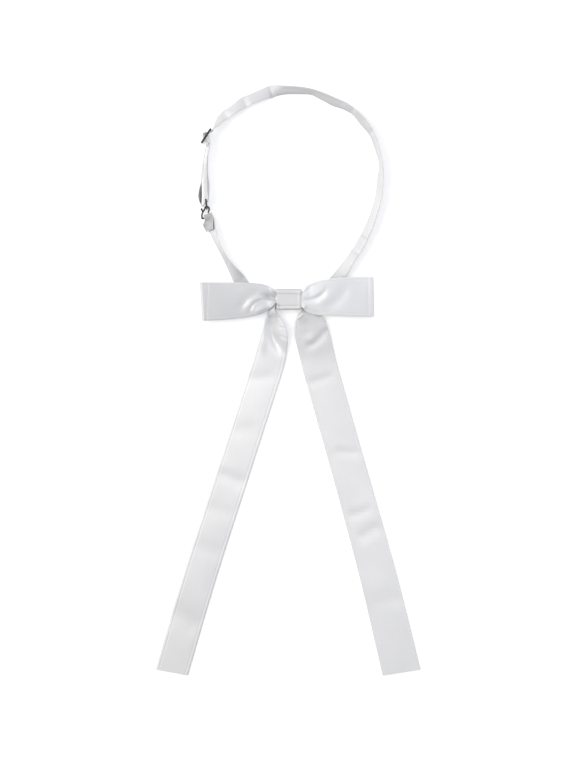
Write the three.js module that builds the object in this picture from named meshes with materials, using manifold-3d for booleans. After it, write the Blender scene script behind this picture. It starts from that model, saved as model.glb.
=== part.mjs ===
// Pre-tied satin bow tie with two long tails, on an adjustable neck strap with a metal slider, ring and
// hook. It lies flat on a table. Sizes are in millimetres. +Z is up, +Y runs from the knot up the neck
// loop, and the origin is the middle of the knot's flat back.
import * as THREE from "three";
import Module from "manifold-3d";
import { mergeVertices } from "three/addons/utils/BufferGeometryUtils.js";

// Driving sizes
const CLOTH = 1.0; // thickness of every satin wall
const GAP = 0.3; // clearance between pieces that touch
const KNOT = { width: 19.6, height: 16.8, depth: 10, corner: 3.2 };
const STRAP_WIDTH = 10;
const METAL = 1.3; // thickness of the slider, the ring and the hook's wire
const HARDWARE_HEIGHT = 13.6; // slider and ring, across the strap
const SLIDER_LENGTH = 13.8; // along the strap
const RING_LENGTH = 8.4; // along the strap
const STRAP_STEP = 4.7; // longest stretch between two cross-sections of the strap

// Distance from a bar's middle to the middle of a strap wound on it
const WOUND = METAL * 0.65 + GAP + CLOTH / 2;

// Where the hardware is
const SLIDER = { x: -66.04, y: 130.6, heading: THREE.MathUtils.degToRad(56.8) };
const RING = { x: -65.88, y: 76.05, heading: THREE.MathUtils.degToRad(96) };
const HOOK = { x: -65.2, y: 66.2, z: METAL * 1.5 + GAP, heading: THREE.MathUtils.degToRad(-68.5) };

// Sections of a bow loop, a row each. out is the distance from the knot's middle, bottom and top are
// the ribbon's two edges, and front and back are the heights of the middles of its front and back
// layers.
const LEFT_LOOP = [
  { out: 0.4, bottom: -2.6, top: 6.0, front: 7.7, back: 3.9 },
  { out: 9.8, bottom: -2.9, top: 6.1, front: 7.7, back: 3.9 },
  { out: 13.4, bottom: -6.3, top: 9.2, front: 8.3, back: 3.3 },
  { out: 18.2, bottom: -9.6, top: 11.4, front: 8.7, back: 2.8 },
  { out: 23.0, bottom: -11.9, top: 12.6, front: 8.9, back: 2.4 },
  { out: 32.6, bottom: -14.2, top: 13.4, front: 8.9, back: 2.2 },
  { out: 42.2, bottom: -15.4, top: 13.6, front: 9.1, back: 1.9 },
  { out: 54.0, bottom: -16.4, top: 13.6, front: 8.9, back: 1.2 },
  { out: 66.0, bottom: -17.0, top: 13.7, front: 7.7, back: 0.9 },
];
const RIGHT_LOOP = [
  { out: 0.4, bottom: -6.0, top: 5.8, front: 7.7, back: 6.2 },
  { out: 9.8, bottom: -6.2, top: 5.9, front: 7.7, back: 6.2 },
  { out: 13.9, bottom: -9.8, top: 10.6, front: 8.3, back: 5.6 },
  { out: 18.0, bottom: -11.5, top: 12.9, front: 8.8, back: 4.9 },
  { out: 23.0, bottom: -12.3, top: 14.8, front: 9.1, back: 4.2 },
  { out: 29.8, bottom: -12.7, top: 16.1, front: 9.2, back: 3.5 },
  { out: 39.4, bottom: -13.2, top: 17.3, front: 9.4, back: 2.8 },
  { out: 52.0, bottom: -13.8, top: 17.9, front: 9.2, back: 1.2 },
  { out: 64.0, bottom: -13.9, top: 18.1, front: 7.8, back: 0.9 },
];
// How much further out the fold stands at the top edge than at the bottom edge.
const LEFT_SKEW = 2.0;
const RIGHT_SKEW = -0.6;

// Folds in the cloth, a row each: a line from, by way of via, to, in plan, with the height of its crest
// (a valley's is negative) and the half width of its flanks. A loop's folds count x outwards from the
// knot.
const LEFT_LOOP_FOLDS = [
  { fromX: 11, fromY: 5.5, viaX: 24, viaY: 9.5, toX: 46, toY: 4, height: 0.8, flank: 5.0 },
  { fromX: 10, fromY: 0.4, viaX: 34, viaY: 6.0, toX: 41, toY: -12, height: -1.5, flank: 2.6 },
  { fromX: 11, fromY: -0.8, viaX: 27, viaY: 2.6, toX: 36, toY: -13, height: 1.1, flank: 2.4 },
  { fromX: 10, fromY: -2.0, viaX: 25, viaY: -2.4, toX: 30, toY: -13, height: -1.3, flank: 2.2 },
];
const RIGHT_LOOP_FOLDS = [
  { fromX: 10, fromY: 3.4, viaX: 21, viaY: 4.6, toX: 29, toY: 13, height: 1.2, flank: 4.2 },
  { fromX: 10, fromY: -2.2, viaX: 30, viaY: -4.0, toX: 32, toY: 13, height: -1.5, flank: 2.6 },
  { fromX: 12, fromY: -5.6, viaX: 27, viaY: -6.2, toX: 37, toY: 4, height: 0.8, flank: 3.2 },
];

// Where a loop's back layer rides up over the edge of the strap
const LEFT_BACK_FOLDS = [
  { fromX: 42, fromY: 19, viaX: 35, viaY: 13, toX: 23, toY: 3, height: 2.4, flank: 4.8 },
];
const RIGHT_BACK_FOLDS = [
  { fromX: 49, fromY: 23, viaX: 44, viaY: 16, toX: 35, toY: 5, height: 4.3, flank: 5.2 },
];

// Sections of a tail, a row each: the two ends of the section in plan, the height of the ribbon's
// middle there, and arch, how far the gathered ribbon bulges up between its edges.
const LEFT_TAIL = [
  { leftX: -3.0, leftY: -3.7, rightX: -3.0, rightY: -6.6, height: 4.4, arch: 1.5 },
  { leftX: -9.9, leftY: -3.8, rightX: -10.1, rightY: -6.6, height: 4.4, arch: 1.5 },
  { leftX: -12.2, leftY: -6.7, rightX: -10.4, rightY: -9.2, height: 4.4, arch: 1.7 },
  { leftX: -15.0, leftY: -9.6, rightX: -8.4, rightY: -12.6, height: 4.3, arch: 2.0 },
  { leftX: -17.6, leftY: -13.2, rightX: -4.8, rightY: -17.0, height: 3.9, arch: 1.9 },
  { leftX: -20.0, leftY: -18.2, rightX: -2.0, rightY: -22.8, height: 3.1, arch: 1.4 },
  { leftX: -22.6, leftY: -25.6, rightX: -0.8, rightY: -29.6, height: 2.3, arch: 0.9 },
  { leftX: -25.2, leftY: -34.6, rightX: -0.9, rightY: -37.0, height: 1.7, arch: 0.5 },
  { leftX: -28.9, leftY: -48.0, rightX: -2.5, rightY: -48.4, height: 1.1, arch: 0.3 },
  { leftX: -33.0, leftY: -61.0, rightX: -5.9, rightY: -61.0, height: 0.9, arch: 0.2 },
  { leftX: -60.8, leftY: -147.0, rightX: -33.4, rightY: -147.0, height: 0.9, arch: 0.2 },
  { leftX: -85.0, leftY: -222.0, rightX: -57.2, rightY: -221.0, height: 0.9, arch: 0.2 },
  { leftX: -106.6, leftY: -296.0, rightX: -80.6, rightY: -300.8, height: 0.7, arch: 0.0 },
];
const RIGHT_TAIL = [
  { leftX: 3.0, leftY: -6.6, rightX: 3.0, rightY: -1.0, height: 3.5, arch: 0.5 },
  { leftX: 9.8, leftY: -6.6, rightX: 10.2, rightY: -1.2, height: 3.5, arch: 0.5 },
  { leftX: 10.4, leftY: -9.2, rightX: 13.4, rightY: -2.5, height: 3.3, arch: 0.5 },
  { leftX: 7.6, leftY: -12.2, rightX: 17.6, rightY: -4.7, height: 2.9, arch: 0.6 },
  { leftX: 5.4, leftY: -16.2, rightX: 22.4, rightY: -8.2, height: 2.5, arch: 0.8 },
  { leftX: 4.4, leftY: -21.8, rightX: 27.2, rightY: -14.2, height: 2.1, arch: 0.9 },
  { leftX: 4.6, leftY: -27.6, rightX: 31.0, rightY: -21.6, height: 1.8, arch: 0.9 },
  { leftX: 6.0, leftY: -35.6, rightX: 34.0, rightY: -32.0, height: 1.5, arch: 0.6 },
  { leftX: 9.0, leftY: -47.6, rightX: 37.2, rightY: -45.6, height: 1.1, arch: 0.3 },
  { leftX: 12.4, leftY: -61.0, rightX: 41.2, rightY: -60.4, height: 0.9, arch: 0.2 },
  { leftX: 36.6, leftY: -147.0, rightX: 65.8, rightY: -147.0, height: 0.9, arch: 0.2 },
  { leftX: 57.0, leftY: -224.0, rightX: 87.0, rightY: -222.0, height: 0.9, arch: 0.2 },
  { leftX: 75.0, leftY: -300.8, rightX: 105.6, rightY: -296.0, height: 0.7, arch: 0.0 },
];
const LEFT_TAIL_FOLDS = [
  { fromX: -15.5, fromY: -8, viaX: -15.5, viaY: -26, toX: -6, toY: -46, height: -1.1, flank: 2.6 },
  { fromX: -12.0, fromY: -9, viaX: -12.0, viaY: -24, toX: -1, toY: -40, height: 0.8, flank: 2.4 },
];
const RIGHT_TAIL_FOLDS = [
  { fromX: 14, fromY: -38, viaX: 26, viaY: -35, toX: 31, toY: -17, height: -0.6, flank: 3.2 },
  { fromX: 11, fromY: -48, viaX: 24, viaY: -44, toX: 34, toY: -26, height: 0.7, flank: 3.6 },
];
// Faint waves across the tails where they were folded for packing
const PACKING_FOLDS = [
  { fromX: -50, fromY: -108, viaX: -36, viaY: -104, toX: -22, toY: -102, height: 0.3, flank: 9 },
  { fromX: -62, fromY: -138, viaX: -46, viaY: -142, toX: -32, toY: -150, height: 0.5, flank: 9 },
  { fromX: -98, fromY: -246, viaX: -84, viaY: -254, toX: -70, toY: -268, height: 0.4, flank: 12 },
  { fromX: 34, fromY: -120, viaX: 46, viaY: -124, toX: 60, toY: -122, height: 0.3, flank: 9 },
  { fromX: 52, fromY: -192, viaX: 64, viaY: -188, toX: 76, toY: -178, height: 0.4, flank: 9 },
  { fromX: 64, fromY: -240, viaX: 80, viaY: -244, toX: 92, toY: -236, height: 0.3, flank: 12 },
];

// The strap's way round the neck, from the hook to the slider: its middle in plan, roll, the lean of
// its face in degrees (0 lies flat, 90 stands on edge with the outer edge up, below 0 has the inner
// edge up), and rise, the height of its lower edge.
const NECK_ROUTE = [
  { x: -59.4, y: 51.0, roll: -62, rise: 0.1 },
  { x: -56.1, y: 42.8, roll: -70, rise: 0.1 },
  { x: -50.9, y: 33.2, roll: -68, rise: 0.1 },
  { x: -45.1, y: 24.0, roll: -50, rise: 0.1 },
  { x: -42.8, y: 20.6, roll: -36, rise: 0.1 },
  { x: -40.8, y: 17.7, roll: -20, rise: 0.1 },
  { x: -38.4, y: 14.4, roll: -6, rise: 0.1 },
  { x: -34.2, y: 8.8, roll: 0, rise: 0.1 },
  { x: -27.0, y: 2.9, roll: 0, rise: 0.1 },
  { x: -18.0, y: 0.3, roll: 0, rise: 0.5 },
  { x: -9.0, y: 0.0, roll: 0, rise: 1.3 },
  { x: 0.0, y: 0.0, roll: 0, rise: 1.3 },
  { x: 9.0, y: 0.0, roll: 0, rise: 1.3 },
  { x: 17.5, y: 0.8, roll: 0, rise: 0.5 },
  { x: 26.0, y: 4.6, roll: 0, rise: 0.1 },
  { x: 33.0, y: 10.2, roll: 0, rise: 0.1 },
  { x: 37.4, y: 14.9, roll: 3, rise: 0.1 },
  { x: 40.4, y: 18.6, roll: 12, rise: 0.1 },
  { x: 43.0, y: 22.2, roll: 34, rise: 0.1 },
  { x: 45.8, y: 26.2, roll: 53, rise: 0.1 },
  { x: 48.8, y: 31.1, roll: 52, rise: 0.1 },
  { x: 57.3, y: 44.1, roll: 45, rise: 0.1 },
  { x: 65.4, y: 61.3, roll: 54, rise: 0.1 },
  { x: 71.2, y: 79.6, roll: 60, rise: 0.1 },
  { x: 73.2, y: 96.0, roll: 62, rise: 0.1 },
  { x: 73.7, y: 107.9, roll: 74, rise: 0.1 },
  { x: 71.2, y: 119.0, roll: 70, rise: 0.1 },
  { x: 66.4, y: 132.4, roll: 66, rise: 0.1 },
  { x: 59.6, y: 141.6, roll: 56, rise: 0.1 },
  { x: 52.6, y: 149.4, roll: 64, rise: 0.1 },
  { x: 44.6, y: 154.6, roll: 56, rise: 0.1 },
  { x: 35.8, y: 158.0, roll: 50, rise: 0.1 },
  { x: 27.2, y: 162.2, roll: 56, rise: 0.1 },
  { x: 18.5, y: 165.8, roll: 64, rise: 0.1 },
  { x: 9.0, y: 167.0, roll: 56, rise: 0.1 },
  { x: -3.0, y: 167.3, roll: 48, rise: 0.1 },
  { x: -11.0, y: 166.8, roll: 24, rise: 0.1 },
  { x: -18.0, y: 165.0, roll: -22, rise: 0.1 },
  { x: -30.0, y: 160.2, roll: -34, rise: 0.1 },
  { x: -37.0, y: 157.0, roll: -28, rise: 0.1 },
  { x: -44.0, y: 152.0, roll: -46, rise: 0.1 },
  { x: -50.6, y: 147.6, roll: -42, rise: 0.1 },
  { x: -54.4, y: 144.4, roll: -62, rise: 0.4 },
  { x: -57.6, y: 140.0, roll: -84, rise: 1.2 },
];
// The strap threaded through the slider, and its sewn end wound on the slider's centre bar. along runs
// up the slider from its middle, and across from its middle towards the inside of the neck loop.
const THREADED = [
  { along: 7.0, across: 2.0 },
  { along: 5.4, across: 1.5 },
  { along: 3.4, across: 0.0 },
  { along: 1.6, across: -2.2 },
  { along: 0.0, across: -2.8 },
  { along: -1.6, across: -2.1 },
  { along: -3.2, across: 0.2 },
  { along: -5.2, across: 3.4 },
];
const RETURN_END = [
  { along: -3.7, across: 5.8 },
  { along: -1.6, across: 4.0 },
  { along: 0.3, across: 1.9 },
];
const SEWN_FLAP = [
  { along: -1.9, across: 0.8 },
  { along: -3.1, across: 2.7 },
  { along: -4.5, across: 4.6 },
  { along: -6.6, across: 5.6 },
];
// The doubled stretch between the slider and the ring: down the outer side, round a slack turn, through
// the ring and up the inner side.
const DOUBLED = [
  { x: -66.6, y: 119.6, roll: -88, rise: 1.8 },
  { x: -67.4, y: 114.8, roll: -88, rise: 1.8 },
  { x: -68.4, y: 108.5, roll: -86, rise: 1.8 },
  { x: -69.1, y: 101.0, roll: -82, rise: 1.8 },
  { x: -70.0, y: 93.5, roll: -77, rise: 1.8 },
  { x: -70.7, y: 87.5, roll: -76, rise: 1.8 },
  { x: -71.0, y: 82.8, roll: -79, rise: 1.8 },
  { x: -70.8, y: 78.8, roll: -84, rise: 1.8 },
  { x: -70.0, y: 75.6, roll: -90, rise: 1.8 },
  { x: -69.0, y: 74.5, roll: -90, rise: 1.8 },
  { x: -68.0, y: 75.2, roll: -90, rise: 1.8 },
  { x: -67.4, y: 76.6, roll: -90, rise: 1.8 },
  { x: -66.0, y: 77.5, roll: -90, rise: 1.8 },
  { x: -64.6, y: 78.9, roll: -90, rise: 1.8 },
  { x: -64.3, y: 82.0, roll: -86, rise: 1.8 },
  { x: -64.6, y: 86.5, roll: -80, rise: 1.8 },
  { x: -64.7, y: 91.5, roll: -79, rise: 1.8 },
  { x: -65.2, y: 98.0, roll: -84, rise: 1.8 },
  { x: -65.4, y: 105.0, roll: -87, rise: 1.8 },
  { x: -65.2, y: 111.0, roll: -88, rise: 1.8 },
  { x: -64.7, y: 115.5, roll: -90, rise: 1.8 },
  { x: -63.9, y: 119.8, roll: -90, rise: 1.8 },
];
const ON_EDGE = { roll: -90, rise: 1.8 };

// The strap's short end from the hook's bar outwards: away from the bar, the reach of its edges left
// and right of the bar's middle, apart, the distance from the strap up to the end that is folded back
// over it, and aside, how far that end lies to the left.
const HOOK_END = [
  { away: 1.6, left: 2.6, right: 4.5, roll: 0, rise: 0.1, apart: 2.9, aside: 0.0 },
  { away: 3.2, left: 3.4, right: 4.8, roll: -10, rise: 0.1, apart: 2.1, aside: 0.2 },
  { away: 5.0, left: 5.0, right: 5.0, roll: -28, rise: 0.1, apart: 1.6, aside: 0.7 },
  { away: 7.0, left: 5.0, right: 5.0, roll: -38, rise: 0.1, apart: 1.5, aside: 1.1 },
  { away: 9.0, left: 5.0, right: 5.0, roll: -47, rise: 0.1, apart: 1.5, aside: 1.4 },
  { away: 11.0, left: 5.0, right: 5.0, roll: -54, rise: 0.1, apart: 1.5, aside: 1.6 },
];
const ON_HOOK_BAR = { left: 2.6, right: 4.5 };

// The hook's wire in plan, from the end of the strap's bar round to the tip, and the spur beside its mouth.
const HOOK_WIRE = [
  [-60.4, 68.1],
  [-65.2, 66.2],
  [-68.9, 64.75],
  [-69.5, 66.2],
  [-69.4, 67.9],
  [-68.6, 70.1],
  [-67.4, 72.0],
  [-66.9, 73.6],
  [-65.5, 74.3],
  [-64.1, 73.6],
  [-63.7, 72.3],
  [-63.9, 70.9],
  [-64.4, 69.6],
];
const HOOK_SPUR = [
  [-68.7, 70.0],
  [-69.3, 71.1],
  [-69.9, 72.4],
];

// Value of a named column at a fractional row, on a smooth curve through the rows.
function column(rows, name, at) {
  const row = Math.min(Math.floor(at), rows.length - 2);
  const value = (k) => rows[THREE.MathUtils.clamp(k, 0, rows.length - 1)][name];
  const [a, b, c, d] = [value(row - 1), value(row), value(row + 1), value(row + 2)];
  const t = at - row;
  const slopeIn = (c - a) / 2;
  const slopeOut = (d - b) / 2;
  const rise = c - b;
  const bend = 3 * rise - 2 * slopeIn - slopeOut;
  return b + t * (slopeIn + t * (bend + t * (slopeIn + slopeOut - 2 * rise)));
}

// Height that a table of folds adds at a point in plan.
function foldHeight(folds, x, y) {
  const STEPS = 12;
  let total = 0;
  for (const fold of folds) {
    let nearest = Infinity;
    let reached = 0;
    for (let k = 0; k <= STEPS; k++) {
      const t = k / STEPS;
      const [a, b, c] = [(1 - t) ** 2, 2 * t * (1 - t), t ** 2];
      const foldX = a * fold.fromX + b * fold.viaX + c * fold.toX;
      const foldY = a * fold.fromY + b * fold.viaY + c * fold.toY;
      const distance = Math.hypot(x - foldX, y - foldY);
      if (distance < nearest) [nearest, reached] = [distance, t];
    }
    total += fold.height * Math.sin(Math.PI * reached ** 0.7) * Math.exp(-((nearest / fold.flank) ** 2));
  }
  return total;
}

// A wall of cloth, closed all round, whose middle is a grid of points. A ringed grid's last row meets
// its first.
function clothWall(grid, thickness, ringed = false) {
  const rows = grid.length;
  const columns = grid[0].length;
  const next = (i) => (ringed ? (i + 1) % rows : Math.min(i + 1, rows - 1));
  const before = (i) => (ringed ? (i + rows - 1) % rows : Math.max(i - 1, 0));
  const positions = [];
  for (const side of [0.5, -0.5]) {
    for (let i = 0; i < rows; i++) {
      for (let j = 0; j < columns; j++) {
        const along = new THREE.Vector3().subVectors(grid[next(i)][j], grid[before(i)][j]);
        const wide = grid[i][Math.min(j + 1, columns - 1)].clone().sub(grid[i][Math.max(j - 1, 0)]);
        const normal = along.cross(wide).normalize();
        positions.push(...grid[i][j].clone().addScaledVector(normal, side * thickness));
      }
    }
  }
  const top = (i, j) => (i % rows) * columns + j;
  const bottom = (i, j) => rows * columns + top(i, j);
  const indices = [];
  const quad = (a, b, c, d) => indices.push(a, b, c, a, c, d);
  const bands = ringed ? rows : rows - 1;
  for (let i = 0; i < bands; i++) {
    for (let j = 0; j < columns - 1; j++) {
      quad(top(i, j), top(i + 1, j), top(i + 1, j + 1), top(i, j + 1));
      quad(bottom(i, j), bottom(i, j + 1), bottom(i + 1, j + 1), bottom(i + 1, j));
    }
    quad(top(i, 0), bottom(i, 0), bottom(i + 1, 0), top(i + 1, 0));
    const j = columns - 1;
    quad(top(i, j), top(i + 1, j), bottom(i + 1, j), bottom(i, j));
  }
  if (!ringed) {
    const end = rows - 1;
    for (let j = 0; j < columns - 1; j++) {
      quad(top(0, j), top(0, j + 1), bottom(0, j + 1), bottom(0, j));
      quad(top(end, j), bottom(end, j), bottom(end, j + 1), top(end, j + 1));
    }
  }
  const geometry = new THREE.BufferGeometry();
  geometry.setAttribute("position", new THREE.Float32BufferAttribute(positions, 3));
  geometry.setIndex(indices);
  geometry.computeVertexNormals();
  return geometry;
}

// One bow loop: the front layer out from the knot, a round fold, and the back layer home again.
function bowLoop(side, sections, frontFolds, backFolds, skew) {
  const LAYER_ROWS = 21;
  const FOLD_ROWS = 5;
  const COLUMNS = 10;
  const last = sections.length - 1;
  const reach = sections[last].out;
  const point = (out, bulge, height, across, at) => {
    const x = out + bulge + skew * (across - 0.5) * (out / reach) ** 3;
    const y = THREE.MathUtils.lerp(column(sections, "bottom", at), column(sections, "top", at), across);
    return new THREE.Vector3(side * x, y, height(x, y));
  };
  const row = (make) => {
    const points = Array.from({ length: COLUMNS + 1 }, (_, j) => make(j / COLUMNS));
    return side > 0 ? points : points.reverse();
  };
  const layer = (name, creases) => {
    const made = [];
    for (let i = 0; i <= LAYER_ROWS; i++) {
      const at = (i / LAYER_ROWS) * last;
      const out = column(sections, "out", at);
      const height = column(sections, name, at);
      made.push(row((across) => point(out, 0, (x, y) => height + foldHeight(creases, x, y), across, at)));
    }
    return made;
  };
  const { front, back } = sections[last];
  const radius = (front - back) / 2;
  const round = [];
  for (let k = 1; k < FOLD_ROWS; k++) {
    const turn = (Math.PI * k) / FOLD_ROWS;
    const height = (front + back) / 2 + radius * Math.cos(turn);
    round.push(row((across) => point(reach, radius * Math.sin(turn), () => height, across, last)));
  }
  return clothWall([...layer("front", frontFolds), ...round, ...layer("back", backFolds).reverse()], CLOTH);
}

// One long tail, from inside the knot to its straight cut end.
function tail(sections, folds) {
  const ROWS = 33;
  const COLUMNS = 7;
  const last = sections.length - 1;
  const grid = [];
  for (let i = 0; i <= ROWS; i++) {
    const at = (i / ROWS) * last;
    const row = [];
    for (let j = 0; j <= COLUMNS; j++) {
      const across = j / COLUMNS;
      const x = THREE.MathUtils.lerp(column(sections, "leftX", at), column(sections, "rightX", at), across);
      const y = THREE.MathUtils.lerp(column(sections, "leftY", at), column(sections, "rightY", at), across);
      const arch = column(sections, "arch", at) * Math.sin(Math.PI * across);
      const creased = foldHeight(folds, x, y) + foldHeight(PACKING_FOLDS, x, y);
      row.push(new THREE.Vector3(x, y, column(sections, "height", at) + arch + creased));
    }
    grid.push(row);
  }
  return clothWall(grid, CLOTH);
}

// The band round the middle, a rounded rectangle seen from the end.
function knotWrap() {
  const CORNER_STEPS = 5;
  const COLUMNS = 4;
  const inset = CLOTH / 2;
  const radius = KNOT.corner - inset;
  const centreY = KNOT.height / 2 - KNOT.corner;
  const corners = [
    { y: centreY, z: KNOT.corner, turn: -90 },
    { y: centreY, z: KNOT.depth - KNOT.corner, turn: 0 },
    { y: -centreY, z: KNOT.depth - KNOT.corner, turn: 90 },
    { y: -centreY, z: KNOT.corner, turn: 180 },
  ];
  const grid = [];
  for (const corner of corners) {
    for (let k = 0; k <= CORNER_STEPS; k++) {
      const turn = THREE.MathUtils.degToRad(corner.turn + (90 * k) / CORNER_STEPS);
      const y = corner.y + radius * Math.cos(turn);
      const z = corner.z + radius * Math.sin(turn);
      const row = [];
      for (let j = 0; j <= COLUMNS; j++) row.push(new THREE.Vector3(KNOT.width * (j / COLUMNS - 0.5), y, z));
      grid.push(row.reverse());
    }
  }
  return clothWall(grid, CLOTH, true);
}

// A station of the strap beside the slider.
function besideSlider({ along, across }) {
  const [c, s] = [Math.cos(SLIDER.heading), Math.sin(SLIDER.heading)];
  return { ...ON_EDGE, x: SLIDER.x + along * c + across * s, y: SLIDER.y + along * s - across * c };
}

// Stations of the strap wound on a wire, from straight above it or beside it through an angle in degrees.
function wound(steps, angle, station) {
  return Array.from({ length: steps + 1 }, (_, k) => {
    const turn = THREE.MathUtils.degToRad((angle * k) / steps);
    return station(WOUND * Math.sin(turn), WOUND * Math.cos(turn));
  });
}

// A station of the strap beside the hook, apart from the layer that lies below and aside from it.
function besideHook({ away, left, right, roll, rise }, apart, aside) {
  const [c, s] = [Math.cos(HOOK.heading), Math.sin(HOOK.heading)];
  const lean = THREE.MathUtils.degToRad(roll);
  const inwards = (right - left) / 2 + apart * Math.sin(lean) - aside;
  return {
    x: HOOK.x + away * c - inwards * s,
    y: HOOK.y + away * s + inwards * c,
    rise: rise + apart * Math.cos(lean),
    width: left + right,
    wideX: s * Math.cos(lean),
    wideY: -c * Math.cos(lean),
    wideZ: Math.sin(lean),
  };
}

// The strap's stations from its end sewn on the hook to its end sewn on the slider.
function strapStations() {
  const below = HOOK.z - CLOTH / 2;
  const onBar = (past, height) => {
    return besideHook({ ...ON_HOOK_BAR, away: -past, roll: 0, rise: below + height }, 0, 0);
  };
  return [
    ...HOOK_END.map((row) => besideHook(row, row.apart, row.aside)).reverse(),
    ...wound(6, 180, onBar),
    ...HOOK_END.map((row) => besideHook(row, 0, 0)),
    ...NECK_ROUTE,
    ...THREADED.map(besideSlider),
    ...DOUBLED,
    ...RETURN_END.map(besideSlider),
    ...wound(8, 240, (along, across) => besideSlider({ along, across })).slice(1),
    ...SEWN_FLAP.map(besideSlider),
  ];
}

// Direction across the strap's face at a station that has a roll, from the way the strap runs there.
function acrossFace(stations, i) {
  const { roll } = stations[i];
  if (roll === undefined) return {};
  const ahead = stations[Math.min(i + 1, stations.length - 1)];
  const behind = stations[i - 1];
  const lean = THREE.MathUtils.degToRad(roll);
  const run = Math.hypot(ahead.x - behind.x, ahead.y - behind.y);
  return {
    wideX: (Math.cos(lean) * (ahead.y - behind.y)) / run,
    wideY: (Math.cos(lean) * (behind.x - ahead.x)) / run,
    wideZ: Math.sin(lean),
  };
}

// The strap in one piece, a row of points across it at short steps along its stations.
function neckStrap() {
  const bare = strapStations();
  const stations = bare.map((station, i) => ({ width: STRAP_WIDTH, ...station, ...acrossFace(bare, i) }));
  const last = stations.length - 1;
  const grid = [];
  for (let i = 0; i <= last; i++) {
    const there = stations[Math.min(i + 1, last)];
    const here = stations[i];
    const length = Math.hypot(there.x - here.x, there.y - here.y, there.rise - here.rise);
    const steps = Math.max(1, Math.ceil(length / STRAP_STEP));
    for (let k = 0; k < steps; k++) {
      const value = (name) => column(stations, name, i + k / steps);
      const wide = new THREE.Vector3(value("wideX"), value("wideY"), value("wideZ")).normalize();
      const half = wide.clone().multiplyScalar(value("width") / 2);
      const lowest = Math.hypot(half.z, 0.1) + (CLOTH / 2) * Math.hypot(wide.x, wide.y);
      const middle = new THREE.Vector3(value("x"), value("y"), value("rise") + lowest);
      grid.push([middle.clone().add(half), middle.clone().sub(half)]);
    }
  }
  return clothWall(grid, CLOTH);
}

// A flat metal frame standing on edge, with a window between each pair of bars.
function metalFrame({ x, y, heading }, length, barPlaces) {
  const BEVEL = 0.2;
  const CORNER = 1.1;
  const half = { along: length / 2 - BEVEL, up: HARDWARE_HEIGHT / 2 - BEVEL };
  const outline = (shape, left, right, low, high, radius) => {
    shape.moveTo(left + radius, low);
    shape.lineTo(right - radius, low);
    shape.absarc(right - radius, low + radius, radius, -Math.PI / 2, 0);
    shape.absarc(right - radius, high - radius, radius, 0, Math.PI / 2);
    shape.absarc(left + radius, high - radius, radius, Math.PI / 2, Math.PI);
    shape.absarc(left + radius, low + radius, radius, Math.PI, 1.5 * Math.PI);
    return shape;
  };
  const plate = outline(new THREE.Shape(), -half.along, half.along, -half.up, half.up, CORNER);
  for (let i = 0; i < barPlaces.length - 1; i++) {
    const left = barPlaces[i] + METAL / 2 + BEVEL;
    const right = barPlaces[i + 1] - METAL / 2 - BEVEL;
    const up = HARDWARE_HEIGHT / 2 - METAL + BEVEL;
    plate.holes.push(outline(new THREE.Path(), left - 2 * BEVEL, right + 2 * BEVEL, -up, up, 0.5));
  }
  const geometry = new THREE.ExtrudeGeometry(plate, {
    depth: METAL - 2 * BEVEL,
    bevelThickness: BEVEL,
    bevelSize: BEVEL,
    bevelSegments: 1,
    curveSegments: 3,
  });
  geometry.translate(0, 0, BEVEL - METAL / 2);
  geometry.rotateX(Math.PI / 2);
  geometry.rotateZ(heading);
  geometry.translate(x, y, HARDWARE_HEIGHT / 2);
  return geometry;
}

// A round wire along a list of plan points at the hook's height.
function wire(points) {
  const SIDES = 8;
  const places = points.map(([x, y]) => new THREE.Vector3(x, y, HOOK.z));
  const way = new THREE.CatmullRomCurve3(places, false, "centripetal");
  const section = new THREE.Shape();
  for (let k = 0; k < SIDES; k++) {
    const turn = (2 * Math.PI * (k + 0.5)) / SIDES;
    section[k ? "lineTo" : "moveTo"]((METAL / 2) * Math.cos(turn), (METAL / 2) * Math.sin(turn));
  }
  return new THREE.ExtrudeGeometry(section, {
    steps: (points.length - 1) * 2,
    extrudePath: way,
    bevelEnabled: false,
  });
}

// The hook: its wire joined with its spur.
async function strapHook() {
  const wasm = await Module();
  wasm.setup();
  const solid = (geometry) => {
    geometry.deleteAttribute("normal");
    geometry.deleteAttribute("uv");
    const merged = mergeVertices(geometry, 1e-4);
    return new wasm.Manifold(
      new wasm.Mesh({
        numProp: 3,
        vertProperties: merged.attributes.position.array,
        triVerts: new Uint32Array(merged.index.array),
      }),
    );
  };
  const joined = solid(wire(HOOK_WIRE)).add(solid(wire(HOOK_SPUR))).getMesh();
  const geometry = new THREE.BufferGeometry();
  geometry.setAttribute("position", new THREE.Float32BufferAttribute(joined.vertProperties, 3));
  geometry.setIndex([...joined.triVerts]);
  geometry.computeVertexNormals();
  return geometry;
}

const satin = (color) => new THREE.MeshStandardMaterial({ color, roughness: 0.42, metalness: 0 });
const METAL_LOOK = { color: "#141416", roughness: 0.35, metalness: 0.6 };
const blackMetal = () => new THREE.MeshStandardMaterial(METAL_LOOK);

function piece(name, geometry, material) {
  const mesh = new THREE.Mesh(geometry, material);
  mesh.name = name;
  return mesh;
}

const sliderBars = [METAL / 2 - SLIDER_LENGTH / 2, 0, SLIDER_LENGTH / 2 - METAL / 2];
const ringBars = [METAL / 2 - RING_LENGTH / 2, RING_LENGTH / 2 - METAL / 2];

const leftLoop = bowLoop(-1, LEFT_LOOP, LEFT_LOOP_FOLDS, LEFT_BACK_FOLDS, LEFT_SKEW);
const rightLoop = bowLoop(1, RIGHT_LOOP, RIGHT_LOOP_FOLDS, RIGHT_BACK_FOLDS, RIGHT_SKEW);

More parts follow.
